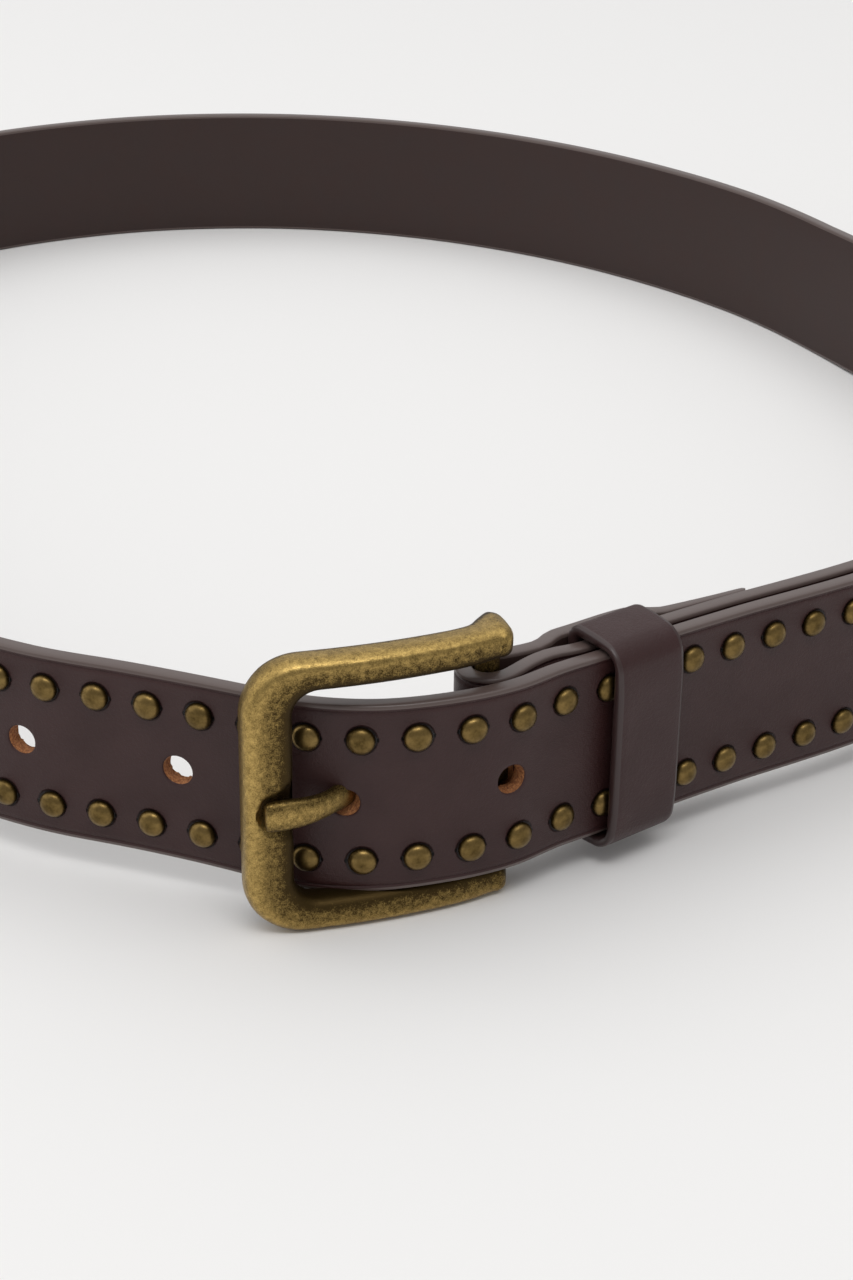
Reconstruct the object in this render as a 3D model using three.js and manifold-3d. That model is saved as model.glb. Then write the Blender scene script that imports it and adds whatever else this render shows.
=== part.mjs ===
// Studded leather belt, buckled into its waist loop and standing on its lower edge.
// One strap runs from its folded end, round the buckle's bar, round the waist and
// back over the bar to its tip. Millimetres, +Z up, the buckle's face towards -Y.
import * as THREE from 'three';
import { ConvexGeometry } from 'three/addons/geometries/ConvexGeometry.js';
import { mergeGeometries, mergeVertices } from 'three/addons/utils/BufferGeometryUtils.js';
import Module from 'manifold-3d';

const wasm = await Module();
wasm.setup();

// Strap
const STRAP_WIDTH = 30;
const STRAP_THICKNESS = 2.6;
const LOOP_ACROSS = 273;
const LOOP_BACK = 328;
const TIP_TO_LAST_HOLE = 100;
const TIP_ROUND = 14;
const HOLE_COUNT = 5;
const HOLE_DIAMETER = 4.8;
const HOLE_SPACING = 25;
const BUCKLED_HOLE = 3;
const FOLD_LENGTH = 49;

// Studs, in two rows along the outer face
const STUD_DIAMETER = 4.2;
const STUD_TOP_DIAMETER = 2.4;
const STUD_HEIGHT = 1.4;
const STUD_ROOT = 0.5;
const STUD_PITCH = 8;
const STUD_FROM_EDGE = 5.35;
const TIP_TO_FIRST_STUD = 11.4;
const PLAIN_AFTER_TIP = 68;

// Buckle frame: a leg, two arms that sweep back at their ends, and the bar between them
const FRAME_DEPTH = 5.5;
const FRAME_BOW = 1.2;
const LEG_WIDTH = 7.2;
const ARM_HEIGHT = 5;
const STRAP_HEADROOM = 3.15;
const OUTER_CORNER = 8.5;
const INNER_CORNER = 3.8;
const LEG_TO_BAR = 34;
const HEEL_DEPTH = 8.6;
const HEEL_SETBACK = 2;
const BAR_SETBACK = 4.1;
const BAR_DIAMETER = 3.6;
const RAIL_OVAL_POWER = 0.72;
const BUCKLE_YAW = THREE.MathUtils.degToRad(20);
const SLANT_AT_BAR = THREE.MathUtils.degToRad(14.5);

// Prong
const PRONG_HOLE_TO_BAR = 25.6;
const PRONG_WIDTH = 4.6;
const PRONG_THICKNESS = 2.4;
const PRONG_OVAL_POWER = 0.8;
const HUB_WALL = 1.9;
const HUB_WIDTH = 6;
const NOTCH_DEPTH = 1.1;
const NOTCH_MARGIN = 0.8;

// Keeper, a fixed leather loop round the two front layers
const KEEPER_WIDTH = 12.6;
const KEEPER_THICKNESS = 1.9;
const BAR_TO_KEEPER = 15.9;
const KEEPER_HEADROOM = 0.5;
const KEEPER_DROOP = 0.6;
const KEEPER_FRONT_RADIUS = 4.3;
const KEEPER_BACK_RADIUS = 2.7;

// Rivet through the fold
const RIVET_HEAD_DIAMETER = 6.5;
const RIVET_HEAD_THICKNESS = 0.5;
const RIVET_HEAD_SLOPE = 0.6;
const RIVET_SHANK_DIAMETER = 3;
const RIVET_FROM_FOLD_END = 5;

// Clearances
const FIT_GAP = 0.3;
const LAYER_GAP = 0.4;
const BAR_GAP = 0.4;
const OVERLAP_GAP = 1.1;
const PINCH_GAP = 0.9;
const KEEPER_GAP = 0.5;
const RIVET_GAP = 0.35;
const STUD_CLEARANCE = 0.9;
const ARM_GAP = 0.25;

// Mesh steps, in millimetres along the strap or in sides round a section
const FOLD_STEP = 3.5;
const COVERED_STEP = 18;
const ARM_STEP = 4.5;
const FOLD_SIDES = 8;
const STUD_SIDES = 10;
const ROUND_SIDES = 12;
const RAIL_SIDES = 10;
const TIP_STEPS = 6;
const BEND_STEPS = 3;
const CORNER_STEPS = 4;

// Where the layers lie, as depths behind the outer face of the overlapping end
const FRONT_DEPTH = STRAP_THICKNESS / 2;
const FOLD_RADIUS = BAR_DIAMETER / 2 + BAR_GAP + STRAP_THICKNESS / 2;
const BAR_DEPTH = STRAP_THICKNESS + LAYER_GAP + STRAP_THICKNESS / 2 + FOLD_RADIUS;
const STRAP_LIFT = ARM_HEIGHT + ARM_GAP;
const STRAP_MIDDLE = STRAP_LIFT + STRAP_WIDTH / 2;
const FRAME_HEIGHT = STRAP_LIFT + STRAP_WIDTH + STRAP_HEADROOM + ARM_HEIGHT;
const FRAME_MIDDLE = FRAME_HEIGHT / 2;
const RESTS_FROM = 0.74 * LOOP_BACK;
const FOLLOWS_GUIDE_FROM = 0.88;

// Outer face of the belt seen from above, in the buckle's frame: x runs from the leg
// to the bar, y towards the back of the loop. Shares of the way from leg to bar.
const WINDOW_ROWS = [
  { along: 0.05, pass: 0 },
  { along: 0.23, pass: 0.49 },
  { along: 0.49, pass: 0.94 },
  { along: 0.78, pass: 1.08 },
];

// Shares of the fold's length, from the bar
const OVERLAP_ROWS = [
  { along: 0.21, back: 0.066 },
  { along: 0.38, back: 0.114 },
  { along: 0.61, back: 0.19 },
  { along: 0.86, back: 0.262 },
];

// Shares of the loop's two extents, from the leg
const LOOP_ROWS = [
  { across: 0.41, back: 0.0585 },
  { across: 0.562, back: 0.129 },
  { across: 0.672, back: 0.26 },
  { across: 0.703, back: 0.41 },
  { across: 0.697, back: 0.55 },
  { across: 0.664, back: 0.685 },
  { across: 0.576, back: 0.824 },
  { across: 0.46, back: 0.922 },
  { across: 0.325, back: 0.981 },
  { across: 0.174, back: 0.999 },
  { across: 0.01, back: 0.966 },
  { across: -0.166, back: 0.843 },
  { across: -0.27, back: 0.66 },
  { across: -0.294, back: 0.472 },
  { across: -0.245, back: 0.288 },
  { across: -0.149, back: 0.133 },
];

// Shares of the way from leg to bar, from where the strap passes the leg
const LEG_ROWS = [
  { along: -0.88, back: 0.69 },
  { along: -0.49, back: 0.38 },
];

// Ends of the buckle's arms: shares of leg to bar, of the heel's setback, of the way
// from the arm's depth to the heel's, and of the arm's height
const HEEL_ROWS = [
  { along: 0.8, setback: 0, swell: 0, height: 1 },
  { along: 0.89, setback: 0.15, swell: 0.08, height: 1 },
  { along: 0.94, setback: 0.55, swell: 0.5, height: 1 },
  { along: 0.99, setback: 0.95, swell: 0.92, height: 1 },
  { along: 1.015, setback: 1, swell: 1, height: 1 },
  { along: 1.045, setback: 1, swell: 0.6, height: 0.86 },
  { along: 1.066, setback: 1, swell: -0.5, height: 0.5 },
];

// Prong behind the strap: shares of the way from its hole to the bar, of the rise to
// the bar's level, and of the prong's width and thickness
const PRONG_BACK_ROWS = [
  { along: 0.87, level: 1, width: 1, thickness: 1.1 },
  { along: 0.56, level: 0.92, width: 0.95, thickness: 1.05 },
  { along: 0.27, level: 0.82, width: 0.9, thickness: 1 },
  { along: 0.12, level: 0.65, width: 0.8, thickness: 0.95 },
  { along: 0, level: 0, width: 0.76, thickness: 0.92 },
];

// Prong in front of the strap: shares of the way from its hole to the leg's middle, of
// the drop to the leg's level, and of the prong's width and thickness
const PRONG_FRONT_ROWS = [
  { along: 0.27, level: 0.61, width: 0.8, thickness: 0.95 },
  { along: 0.55, level: 0.93, width: 0.9, thickness: 1 },
  { along: 0.83, level: 1, width: 1, thickness: 0.95 },
  { along: 1.05, level: 1, width: 0.94, thickness: 0.85 },
  { along: 1.09, level: 1, width: 0.6, thickness: 0.5 },
];

const UP = new THREE.Vector3(0, 0, 1);

// A closed geometry as a solid that can be joined and cut
function solid(geometry) {
  const plain = geometry.clone();
  plain.deleteAttribute('normal');
  plain.deleteAttribute('uv');
  const merged = mergeVertices(plain, 1e-4);
  return new wasm.Manifold(new wasm.Mesh({
    numProp: 3,
    vertProperties: new Float32Array(merged.attributes.position.array),
    triVerts: new Uint32Array(merged.index.array),
  }));
}

function geometryOf(body) {
  const mesh = body.getMesh();
  const geometry = new THREE.BufferGeometry();
  geometry.setAttribute('position', new THREE.BufferAttribute(mesh.vertProperties, 3));
  geometry.setIndex(new THREE.BufferAttribute(mesh.triVerts, 1));
  geometry.computeVertexNormals();
  return geometry;
}

// Skin over a row of rings with equally many points, closed by a flat cap at each end
function loft(rings) {
  const count = rings[0].length;
  const points = rings.flat();
  const indices = [];
  for (let ring = 0; ring + 1 < rings.length; ring += 1) {
    for (let side = 0; side < count; side += 1) {
      const here = ring * count + side;
      const next = ring * count + ((side + 1) % count);
      indices.push(here, next, next + count, here, next + count, here + count);
    }
  }
  const last = (rings.length - 1) * count;
  for (let side = 1; side + 1 < count; side += 1) {
    indices.push(0, side + 1, side);
    indices.push(last, last + side, last + side + 1);
  }
  const geometry = new THREE.BufferGeometry().setFromPoints(points);
  geometry.setIndex(indices);
  return geometry;
}

// A rounded section: points of an oval from -1 to 1 both ways, squarer for a lower power
function ovalPoints(sides, power) {
  const points = [];
  for (let side = 0; side < sides; side += 1) {
    const angle = (side + 0.5) / sides * 2 * Math.PI;
    const x = Math.sign(Math.cos(angle)) * Math.abs(Math.cos(angle)) ** power;
    const y = Math.sign(Math.sin(angle)) * Math.abs(Math.sin(angle)) ** power;
    points.push(new THREE.Vector2(x, y));
  }
  return points;
}

const barCentre = new THREE.Vector2(LEG_TO_BAR, BAR_SETBACK);

// The guide is the belt's outer face from above, starting where it passes the bar
function makeGuide() {
  const atBar = BAR_SETBACK - BAR_DEPTH;
  const atLeg = FRAME_DEPTH / 2 + STUD_HEIGHT + STUD_CLEARANCE;
  const legStart = WINDOW_ROWS[0].along * LEG_TO_BAR;
  const points = [new THREE.Vector3(
    LEG_TO_BAR + BAR_DEPTH * Math.sin(SLANT_AT_BAR),
    BAR_SETBACK - BAR_DEPTH * Math.cos(SLANT_AT_BAR),
    0,
  )];
  for (const row of OVERLAP_ROWS) {
    const x = LEG_TO_BAR + row.along * FOLD_LENGTH;
    points.push(new THREE.Vector3(x, atBar + row.back * FOLD_LENGTH, 0));
  }
  for (const row of LOOP_ROWS) {
    points.push(new THREE.Vector3(row.across * LOOP_ACROSS, row.back * LOOP_BACK, 0));
  }
  for (const row of LEG_ROWS) {
    const x = legStart + row.along * LEG_TO_BAR;
    points.push(new THREE.Vector3(x, atLeg + row.back * LEG_TO_BAR, 0));
  }
  for (const row of WINDOW_ROWS) {
    const y = THREE.MathUtils.lerp(atLeg, atBar, row.pass);
    points.push(new THREE.Vector3(row.along * LEG_TO_BAR, y, 0));
  }
  const curve = new THREE.CatmullRomCurve3(points, true, 'centripetal');
  curve.arcLengthDivisions = 4000;
  return curve;
}

const guide = makeGuide();
const loopLength = guide.getLength();
const tipPastProng = TIP_TO_LAST_HOLE + (BUCKLED_HOLE - 1) * HOLE_SPACING;
const tipCoversTo = tipPastProng - PRONG_HOLE_TO_BAR;
const tipStation = loopLength + tipCoversTo;
const studsFrom = tipCoversTo + PLAIN_AFTER_TIP;

// Directions of the strap at a distance from the bar: along it, and in towards the loop
function guideFrame(station) {
  const share = THREE.MathUtils.euclideanModulo(station / loopLength, 1);
  const along = guide.getTangentAt(share).normalize();
  return { face: guide.getPointAt(share), along, inward: new THREE.Vector3(-along.y, along.x, 0) };
}

function atDepth(station, depth) {
  const { face, inward } = guideFrame(station);
  return face.clone().addScaledVector(inward, depth);
}

// How far back a place lies from the leg, square to the belt's width
function behindLeg(x, y) {
  return x * Math.sin(BUCKLE_YAW) + y * Math.cos(BUCKLE_YAW);
}

// How far the lower edge stands above the floor: the buckle holds the front up
function lift(x, y) {
  const level = behindLeg(barCentre.x, barCentre.y);
  const share = (behindLeg(x, y) - level) / (RESTS_FROM - level);
  return STRAP_LIFT * (1 - THREE.MathUtils.clamp(share, 0, 1));
}

// Gaps in front of and behind the middle layer, by distance from the bar
const keeperBack = KEEPER_THICKNESS + 2 * KEEPER_GAP;
const FOLD_GAPS = [
  { at: 0, front: LAYER_GAP, back: BAR_DIAMETER + 2 * BAR_GAP },
  { at: 0.66 * BAR_TO_KEEPER, front: PINCH_GAP, back: LAYER_GAP },
  { at: 0.93 * BAR_TO_KEEPER, front: OVERLAP_GAP, back: keeperBack },
  { at: BAR_TO_KEEPER + 1.05 * KEEPER_WIDTH, front: OVERLAP_GAP, back: keeperBack },
  { at: BAR_TO_KEEPER + 1.4 * KEEPER_WIDTH, front: OVERLAP_GAP, back: LAYER_GAP },
];

function foldGap(station, side) {
  const last = FOLD_GAPS[FOLD_GAPS.length - 1];
  if (station >= last.at) return last[side];
  const next = FOLD_GAPS.findIndex((row) => row.at > station);
  const before = FOLD_GAPS[next - 1];
  const after = FOLD_GAPS[next];
  const share = THREE.MathUtils.smoothstep(station, before.at, after.at);
  return THREE.MathUtils.lerp(before[side], after[side], share);
}

// Depth of the strap's middle line on its way from the bar round the loop to the tip
function strapDepth(station) {
  const under = STRAP_THICKNESS * 1.5 + foldGap(station, 'front');
  const clear = tipCoversTo + STRAP_WIDTH / 2;
  const share = THREE.MathUtils.smoothstep(station, clear, FOLLOWS_GUIDE_FROM * loopLength);
  return THREE.MathUtils.lerp(under, FRONT_DEPTH, share);
}

function foldBackDepth(station) {
  return STRAP_THICKNESS * 2.5 + foldGap(station, 'front') + foldGap(station, 'back');
}

function stationsBetween(from, to, step) {
  const count = Math.max(1, Math.round(Math.abs(to - from) / step));
  return Array.from({ length: count }, (_, index) => from + (to - from) * index / count);
}

// Stations along the fold after the bar, with one at each row of its gaps
function foldStations() {
  const marks = [...FOLD_GAPS.map((row) => row.at), FOLD_LENGTH];
  const stretches = marks.slice(1).map((mark, index) => stationsBetween(marks[index], mark, FOLD_STEP));
  return [...stretches.flat().slice(1), FOLD_LENGTH];
}

// Stations halfway between studs, so that each stud sits on one flat of the strap:
// one for each stud near the buckle, one for every second stud elsewhere
function studdedStations() {
  const last = tipStation - TIP_TO_FIRST_STUD + STUD_PITCH / 2;
  const count = Math.floor((last - studsFrom) / STUD_PITCH);
  const closeFrom = loopLength - PRONG_HOLE_TO_BAR - LEG_TO_BAR;
  const closeTo = loopLength + BAR_TO_KEEPER + KEEPER_WIDTH;
  const stations = [];
  for (let index = count; index >= 0; index -= 1) {
    const station = last - index * STUD_PITCH;
    const close = station > closeFrom && station < closeTo;
    if (close || index === count || index % 2 === 0) stations.push(station);
  }
  return stations;
}

// The strap's middle line from above, from the folded end to the tip
function strapLine() {
  const { along, inward } = guideFrame(0);
  const bar = new THREE.Vector3(barCentre.x, barCentre.y, 0);
  const line = [];
  for (const station of foldStations().reverse()) {
    line.push(atDepth(station, foldBackDepth(station)));
  }
  for (let side = 0; side <= FOLD_SIDES; side += 1) {
    const turn = Math.PI * side / FOLD_SIDES;
    line.push(bar.clone()
      .addScaledVector(inward, FOLD_RADIUS * Math.cos(turn))
      .addScaledVector(along, -FOLD_RADIUS * Math.sin(turn)));
  }
  const studded = studdedStations();
  const stations = [
    ...foldStations().slice(0, -1),
    ...stationsBetween(FOLD_LENGTH, studded[0], COVERED_STEP),
    ...studded,
    tipStation,
  ];
  for (const station of stations) {
    line.push(atDepth(station, strapDepth(station)));
  }
  return line;
}

// Turns geometry made about its own axes so that they point along three directions
function placed(geometry, xAxis, yAxis, zAxis, origin) {
  const matrix = new THREE.Matrix4().makeBasis(xAxis, yAxis, zAxis).setPosition(origin);
  return geometry.applyMatrix4(matrix);
}

function strapBand() {
  const line = strapLine();
  const outer = [];
  const inner = [];
  line.forEach((point, index) => {
    const before = line[Math.max(0, index - 1)];
    const after = line[Math.min(line.length - 1, index + 1)];
    const into = point.clone().sub(before).normalize();
    const out = after.clone().sub(point).normalize();
    const along = into.add(out).normalize();
    const half = STRAP_THICKNESS / 2;
    outer.push(new THREE.Vector2(point.x + along.y * half, point.y - along.x * half));
    inner.push(new THREE.Vector2(point.x - along.y * half, point.y + along.x * half));
  });
  const outline = new THREE.Shape([...outer, ...inner.reverse()]);
  const band = new THREE.ExtrudeGeometry(outline, { depth: STRAP_WIDTH, bevelEnabled: false });
  const position = band.attributes.position;
  for (let index = 0; index < position.count; index += 1) {
    const raise = lift(position.getX(index), position.getY(index));
    position.setZ(index, position.getZ(index) + raise);
  }
  return band;
}

// The strap's middle line and directions at a station, halfway up its width
function strapFrame(station) {
  const { along, inward } = guideFrame(station);
  const centre = atDepth(station, strapDepth(station));
  centre.z = lift(centre.x, centre.y) + STRAP_WIDTH / 2;
  return { centre, along, inward };
}

// A round cutter along the strap's thickness
function punch(station, diameter, depth) {
  const { centre, along, inward } = strapFrame(station);
  const cutter = new THREE.CylinderGeometry(diameter / 2, diameter / 2, depth, ROUND_SIDES);
  return placed(cutter, along, inward, UP, centre);
}

// A low dome with a ten-sided foot and a five-sided crown, rooted in the leather
function stud(station, height) {
  const { centre, along, inward } = strapFrame(station);
  const points = [];
  const ring = (diameter, sides, out) => {
    for (let side = 0; side < sides; side += 1) {
      const angle = side / sides * 2 * Math.PI;
      points.push(centre.clone()
        .addScaledVector(along, diameter / 2 * Math.cos(angle))
        .addScaledVector(UP, height + diameter / 2 * Math.sin(angle))
        .addScaledVector(inward, -STRAP_THICKNESS / 2 - out));
    }
  };
  const flare = (STUD_DIAMETER - STUD_TOP_DIAMETER) * STUD_ROOT / STUD_HEIGHT;
  ring(STUD_DIAMETER + flare, STUD_SIDES, -STUD_ROOT);
  ring(STUD_TOP_DIAMETER, STUD_SIDES / 2, STUD_HEIGHT);
  return new ConvexGeometry(points);
}

// Both rows of studs, from the tip back round the waist
function studRows() {
  const rowHeight = STRAP_WIDTH / 2 - STUD_FROM_EDGE;
  const studs = [];
  for (let station = tipStation - TIP_TO_FIRST_STUD; station > studsFrom; station -= STUD_PITCH) {
    studs.push(stud(station, rowHeight), stud(station, -rowHeight));
  }
  for (const geometry of studs) {
    geometry.deleteAttribute('normal');
  }
  return mergeGeometries(studs);
}

// What is cut away round the half oval of the tip
function tipCutter() {
  const { centre, along, inward } = strapFrame(tipStation - TIP_ROUND / 2);
  const half = STRAP_WIDTH / 2;
  const beyond = half + FIT_GAP;
  const start = -TIP_ROUND / 2;
  const end = TIP_ROUND;
  const outline = new THREE.Shape();
  outline.moveTo(start, -beyond);
  outline.lineTo(end, -beyond);
  outline.lineTo(end, beyond);
  outline.lineTo(start, beyond);
  outline.lineTo(start, half);
  outline.absellipse(start, 0, TIP_ROUND, half, Math.PI / 2, -Math.PI / 2, true);
  const reach = STRAP_THICKNESS + OVERLAP_GAP;
  const options = { depth: reach, bevelEnabled: false, curveSegments: TIP_STEPS };
  const cutter = new THREE.ExtrudeGeometry(outline, options);
  const outward = inward.clone().negate();
  const origin = centre.clone().addScaledVector(inward, STRAP_THICKNESS / 2 + OVERLAP_GAP / 2);
  return placed(cutter, along, UP, outward, origin);
}

// The slot that lets the prong's hub sit on the bar inside the fold
function hubSlot() {
  const radius = FOLD_RADIUS + STRAP_THICKNESS / 2 + LAYER_GAP / 2;
  const cutter = new THREE.CylinderGeometry(radius, radius, HUB_WIDTH + 4 * FIT_GAP, ROUND_SIDES);
  cutter.rotateX(Math.PI / 2);
  return cutter.translate(barCentre.x, barCentre.y, STRAP_MIDDLE);
}

// Middle line of the prong from above, with its width and thickness at each row
function prongRows(margin) {
  const hole = strapFrame(loopLength - PRONG_HOLE_TO_BAR).centre;
  const barLevel = BAR_SETBACK - BAR_DIAMETER / 4;
  const legLevel = NOTCH_DEPTH - FIT_GAP - (FRAME_DEPTH + PRONG_THICKNESS) / 2;
  const row = (shares, x, y) => ({
    centre: new THREE.Vector3(
      THREE.MathUtils.lerp(hole.x, x, shares.along),
      THREE.MathUtils.lerp(hole.y, y, shares.level),
      STRAP_MIDDLE,
    ),
    width: PRONG_WIDTH * shares.width + 2 * margin,
    thickness: PRONG_THICKNESS * shares.thickness + 2 * margin,
  });
  return [
    ...PRONG_BACK_ROWS.map((shares) => row(shares, LEG_TO_BAR, barLevel)),
    ...PRONG_FRONT_ROWS.map((shares) => row(shares, 0, legLevel)),
  ];
}

function prongBody(margin) {
  const rows = prongRows(margin);
  const section = ovalPoints(RAIL_SIDES, PRONG_OVAL_POWER);
  const rings = rows.map((row, index) => {
    const before = rows[Math.max(0, index - 1)].centre;
    const after = rows[Math.min(rows.length - 1, index + 1)].centre;
    const along = after.clone().sub(before).normalize();
    const across = new THREE.Vector3(-along.y, along.x, 0);
    return section.map((point) => row.centre.clone()
      .addScaledVector(across, point.x * row.thickness / 2)
      .addScaledVector(UP, point.y * row.width / 2)
      .addScaledVector(along, index === rows.length - 1 ? margin : 0));
  });
  return solid(loft(rings));
}

function prongHub() {
  const outline = new THREE.Shape().absarc(0, 0, BAR_DIAMETER / 2 + FIT_GAP + HUB_WALL, 0, 2 * Math.PI);
  outline.holes.push(new THREE.Path().absarc(0, 0, BAR_DIAMETER / 2 + FIT_GAP, 0, 2 * Math.PI));
  const options = { depth: HUB_WIDTH, bevelEnabled: false, curveSegments: ROUND_SIDES / 2 };
  const hub = new THREE.ExtrudeGeometry(outline, options);
  return solid(hub.translate(barCentre.x, barCentre.y, STRAP_MIDDLE - HUB_WIDTH / 2));
}

function buildProng() {
  return prongBody(0).add(prongHub());
}

// Inner and outer edge of the frame's rail in its upper half, from the leg's middle
// to the end of the arm, with the depth and setback of the section there
function railRows() {
  const half = FRAME_HEIGHT / 2;
  const inside = half - ARM_HEIGHT;
  const edge = LEG_WIDTH / 2;
  const innerPivot = new THREE.Vector2(edge + INNER_CORNER, inside - INNER_CORNER);
  const outerPivot = new THREE.Vector2(OUTER_CORNER - edge, half - OUTER_CORNER);
  const rows = [
    { inner: new THREE.Vector2(edge, 0), outer: new THREE.Vector2(-edge, 0) },
  ];
  for (let step = 0; step <= CORNER_STEPS; step += 1) {
    const turn = Math.PI / 2 * step / CORNER_STEPS;
    const out = new THREE.Vector2(-Math.cos(turn), Math.sin(turn));
    rows.push({
      inner: innerPivot.clone().addScaledVector(out, INNER_CORNER),
      outer: outerPivot.clone().addScaledVector(out, OUTER_CORNER),
    });
  }
  const armStart = innerPivot.x + INNER_CORNER;
  const armEnd = HEEL_ROWS[0].along * LEG_TO_BAR;
  for (const x of stationsBetween(armStart, armEnd, ARM_STEP)) {
    rows.push({ inner: new THREE.Vector2(x, inside), outer: new THREE.Vector2(x, half) });
  }
  for (const row of rows) {
    row.depth = FRAME_DEPTH;
    row.setback = 0;
  }
  for (const heel of HEEL_ROWS) {
    const x = heel.along * LEG_TO_BAR;
    const slack = ARM_HEIGHT / 2 * (1 - heel.height);
    rows.push({
      inner: new THREE.Vector2(x, inside + slack),
      outer: new THREE.Vector2(x, half - slack),
      depth: THREE.MathUtils.lerp(FRAME_DEPTH, HEEL_DEPTH, heel.swell),
      setback: heel.setback * HEEL_SETBACK,
    });
  }
  return rows;
}

// The frame bows forward between the leg and the bar
function bow(x) {
  const share = THREE.MathUtils.clamp(x / LEG_TO_BAR, 0, 1);
  return FRAME_BOW * Math.sin(Math.PI * share);
}

function railRing(row, mirror) {
  const section = ovalPoints(RAIL_SIDES, RAIL_OVAL_POWER);
  const centre = row.inner.clone().add(row.outer).multiplyScalar(0.5);
  const across = row.outer.clone().sub(row.inner).multiplyScalar(0.5);
  return section.map((point) => {
    const x = centre.x + across.x * point.x;
    const z = centre.y + across.y * point.x;
    const y = row.setback - bow(x) - point.y * row.depth / 2;
    return new THREE.Vector3(x, y, FRAME_MIDDLE + mirror * z);
  });
}

function buildFrame() {
  const rows = railRows();
  const upper = rows.map((row) => railRing(row, 1));
  const lower = rows.slice(1).map((row) => railRing(row, -1));
  const rail = solid(loft([...lower.reverse(), ...upper]));
  const radius = BAR_DIAMETER / 2;
  const bar = new THREE.CylinderGeometry(radius, radius, FRAME_HEIGHT - ARM_HEIGHT, ROUND_SIDES);
  bar.rotateX(Math.PI / 2);
  bar.translate(barCentre.x, barCentre.y, FRAME_MIDDLE);
  const notch = prongBody(FIT_GAP).add(notchRecess());
  return rail.subtract(notch).add(solid(bar));
}

// The rounded recess in the leg's face that takes the prong's tip
function notchRecess() {
  const radius = PRONG_WIDTH / 2 + NOTCH_MARGIN;
  const recess = new THREE.CapsuleGeometry(radius, LEG_WIDTH, 3, RAIL_SIDES);
  recess.rotateZ(Math.PI / 2);
  recess.scale(1, NOTCH_DEPTH / radius, 1);
  return solid(recess.translate(LEG_WIDTH * 0.75, -FRAME_DEPTH / 2, STRAP_MIDDLE));
}

function roundedOutline(left, right, bottom, top, leftRadius, rightRadius) {
  const outline = new THREE.Path();
  const quarter = Math.PI / 2;
  outline.absarc(right - rightRadius, bottom + rightRadius, rightRadius, -quarter, 0);
  outline.absarc(right - rightRadius, top - rightRadius, rightRadius, 0, quarter);
  outline.absarc(left + leftRadius, top - leftRadius, leftRadius, quarter, 2 * quarter);
  outline.absarc(left + leftRadius, bottom + leftRadius, leftRadius, 2 * quarter, 3 * quarter);
  outline.closePath();
  return outline;
}

// The keeper: a band bent round the tip end and the layer behind it
function buildKeeper() {
  const middle = BAR_TO_KEEPER + KEEPER_WIDTH / 2;
  const { face, along, inward } = guideFrame(middle);
  const front = -STUD_HEIGHT - FIT_GAP;
  const back = 2 * STRAP_THICKNESS + foldGap(middle, 'front') + KEEPER_GAP;
  const bottom = -KEEPER_DROOP;
  const top = STRAP_WIDTH + KEEPER_HEADROOM;
  const wall = KEEPER_THICKNESS;
  const outer = roundedOutline(front - wall, back + wall, bottom - wall, top + wall,
    KEEPER_FRONT_RADIUS, KEEPER_BACK_RADIUS);
  const inner = roundedOutline(front, back, bottom, top,
    KEEPER_FRONT_RADIUS - wall, KEEPER_BACK_RADIUS - wall);
  const outline = new THREE.Shape(outer.getPoints(BEND_STEPS));
  outline.holes.push(inner);
  const options = { depth: KEEPER_WIDTH, bevelEnabled: false, curveSegments: BEND_STEPS };
  const band = new THREE.ExtrudeGeometry(outline, options);
  band.translate(0, 0, -KEEPER_WIDTH / 2);
  const origin = face.clone();
  origin.z = lift(face.x, face.y);
  return solid(placed(band, inward, UP, along, origin));
}

// The rivet's axis through the fold, and how deep its two outer faces lie
function rivetFrame() {
  const station = FOLD_LENGTH - RIVET_FROM_FOLD_END;
  const { face, along, inward } = guideFrame(station);
  const front = STRAP_THICKNESS + foldGap(station, 'front');
  const back = foldBackDepth(station) + STRAP_THICKNESS / 2;
  const origin = face.clone();
  origin.z = lift(face.x, face.y) + STRAP_WIDTH / 2;
  return { along, inward, origin, front, back };
}

function rivetProfile(headRadius, shankRadius) {
  const { front, back } = rivetFrame();
  const headInside = front - RIVET_GAP;
  const backInside = back + RIVET_GAP;
  const profile = [
    [0, headInside - RIVET_HEAD_THICKNESS],
    [headRadius - RIVET_HEAD_SLOPE, headInside - RIVET_HEAD_THICKNESS],
    [headRadius, headInside],
    [shankRadius, headInside],
    [shankRadius, backInside],
    [headRadius, backInside],
    [headRadius - RIVET_HEAD_SLOPE, backInside + RIVET_HEAD_THICKNESS],
    [0, backInside + RIVET_HEAD_THICKNESS],
  ];
  return new THREE.LatheGeometry(profile.map(([x, y]) => new THREE.Vector2(x, y)), ROUND_SIDES);
}

function buildRivet() {
  const { along, inward, origin } = rivetFrame();
  const rivet = rivetProfile(RIVET_HEAD_DIAMETER / 2, RIVET_SHANK_DIAMETER / 2);
  return solid(placed(rivet, along, inward, UP, origin));
}

function rivetHole() {
  const { along, inward, origin, front, back } = rivetFrame();
  const radius = RIVET_SHANK_DIAMETER / 2 + FIT_GAP;
  const length = back - front + 2 * FIT_GAP;
  const hole = new THREE.CylinderGeometry(radius, radius, length, ROUND_SIDES);
  hole.translate(0, (front + back) / 2, 0);
  return solid(placed(hole, along, inward, UP, origin));
}

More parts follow.
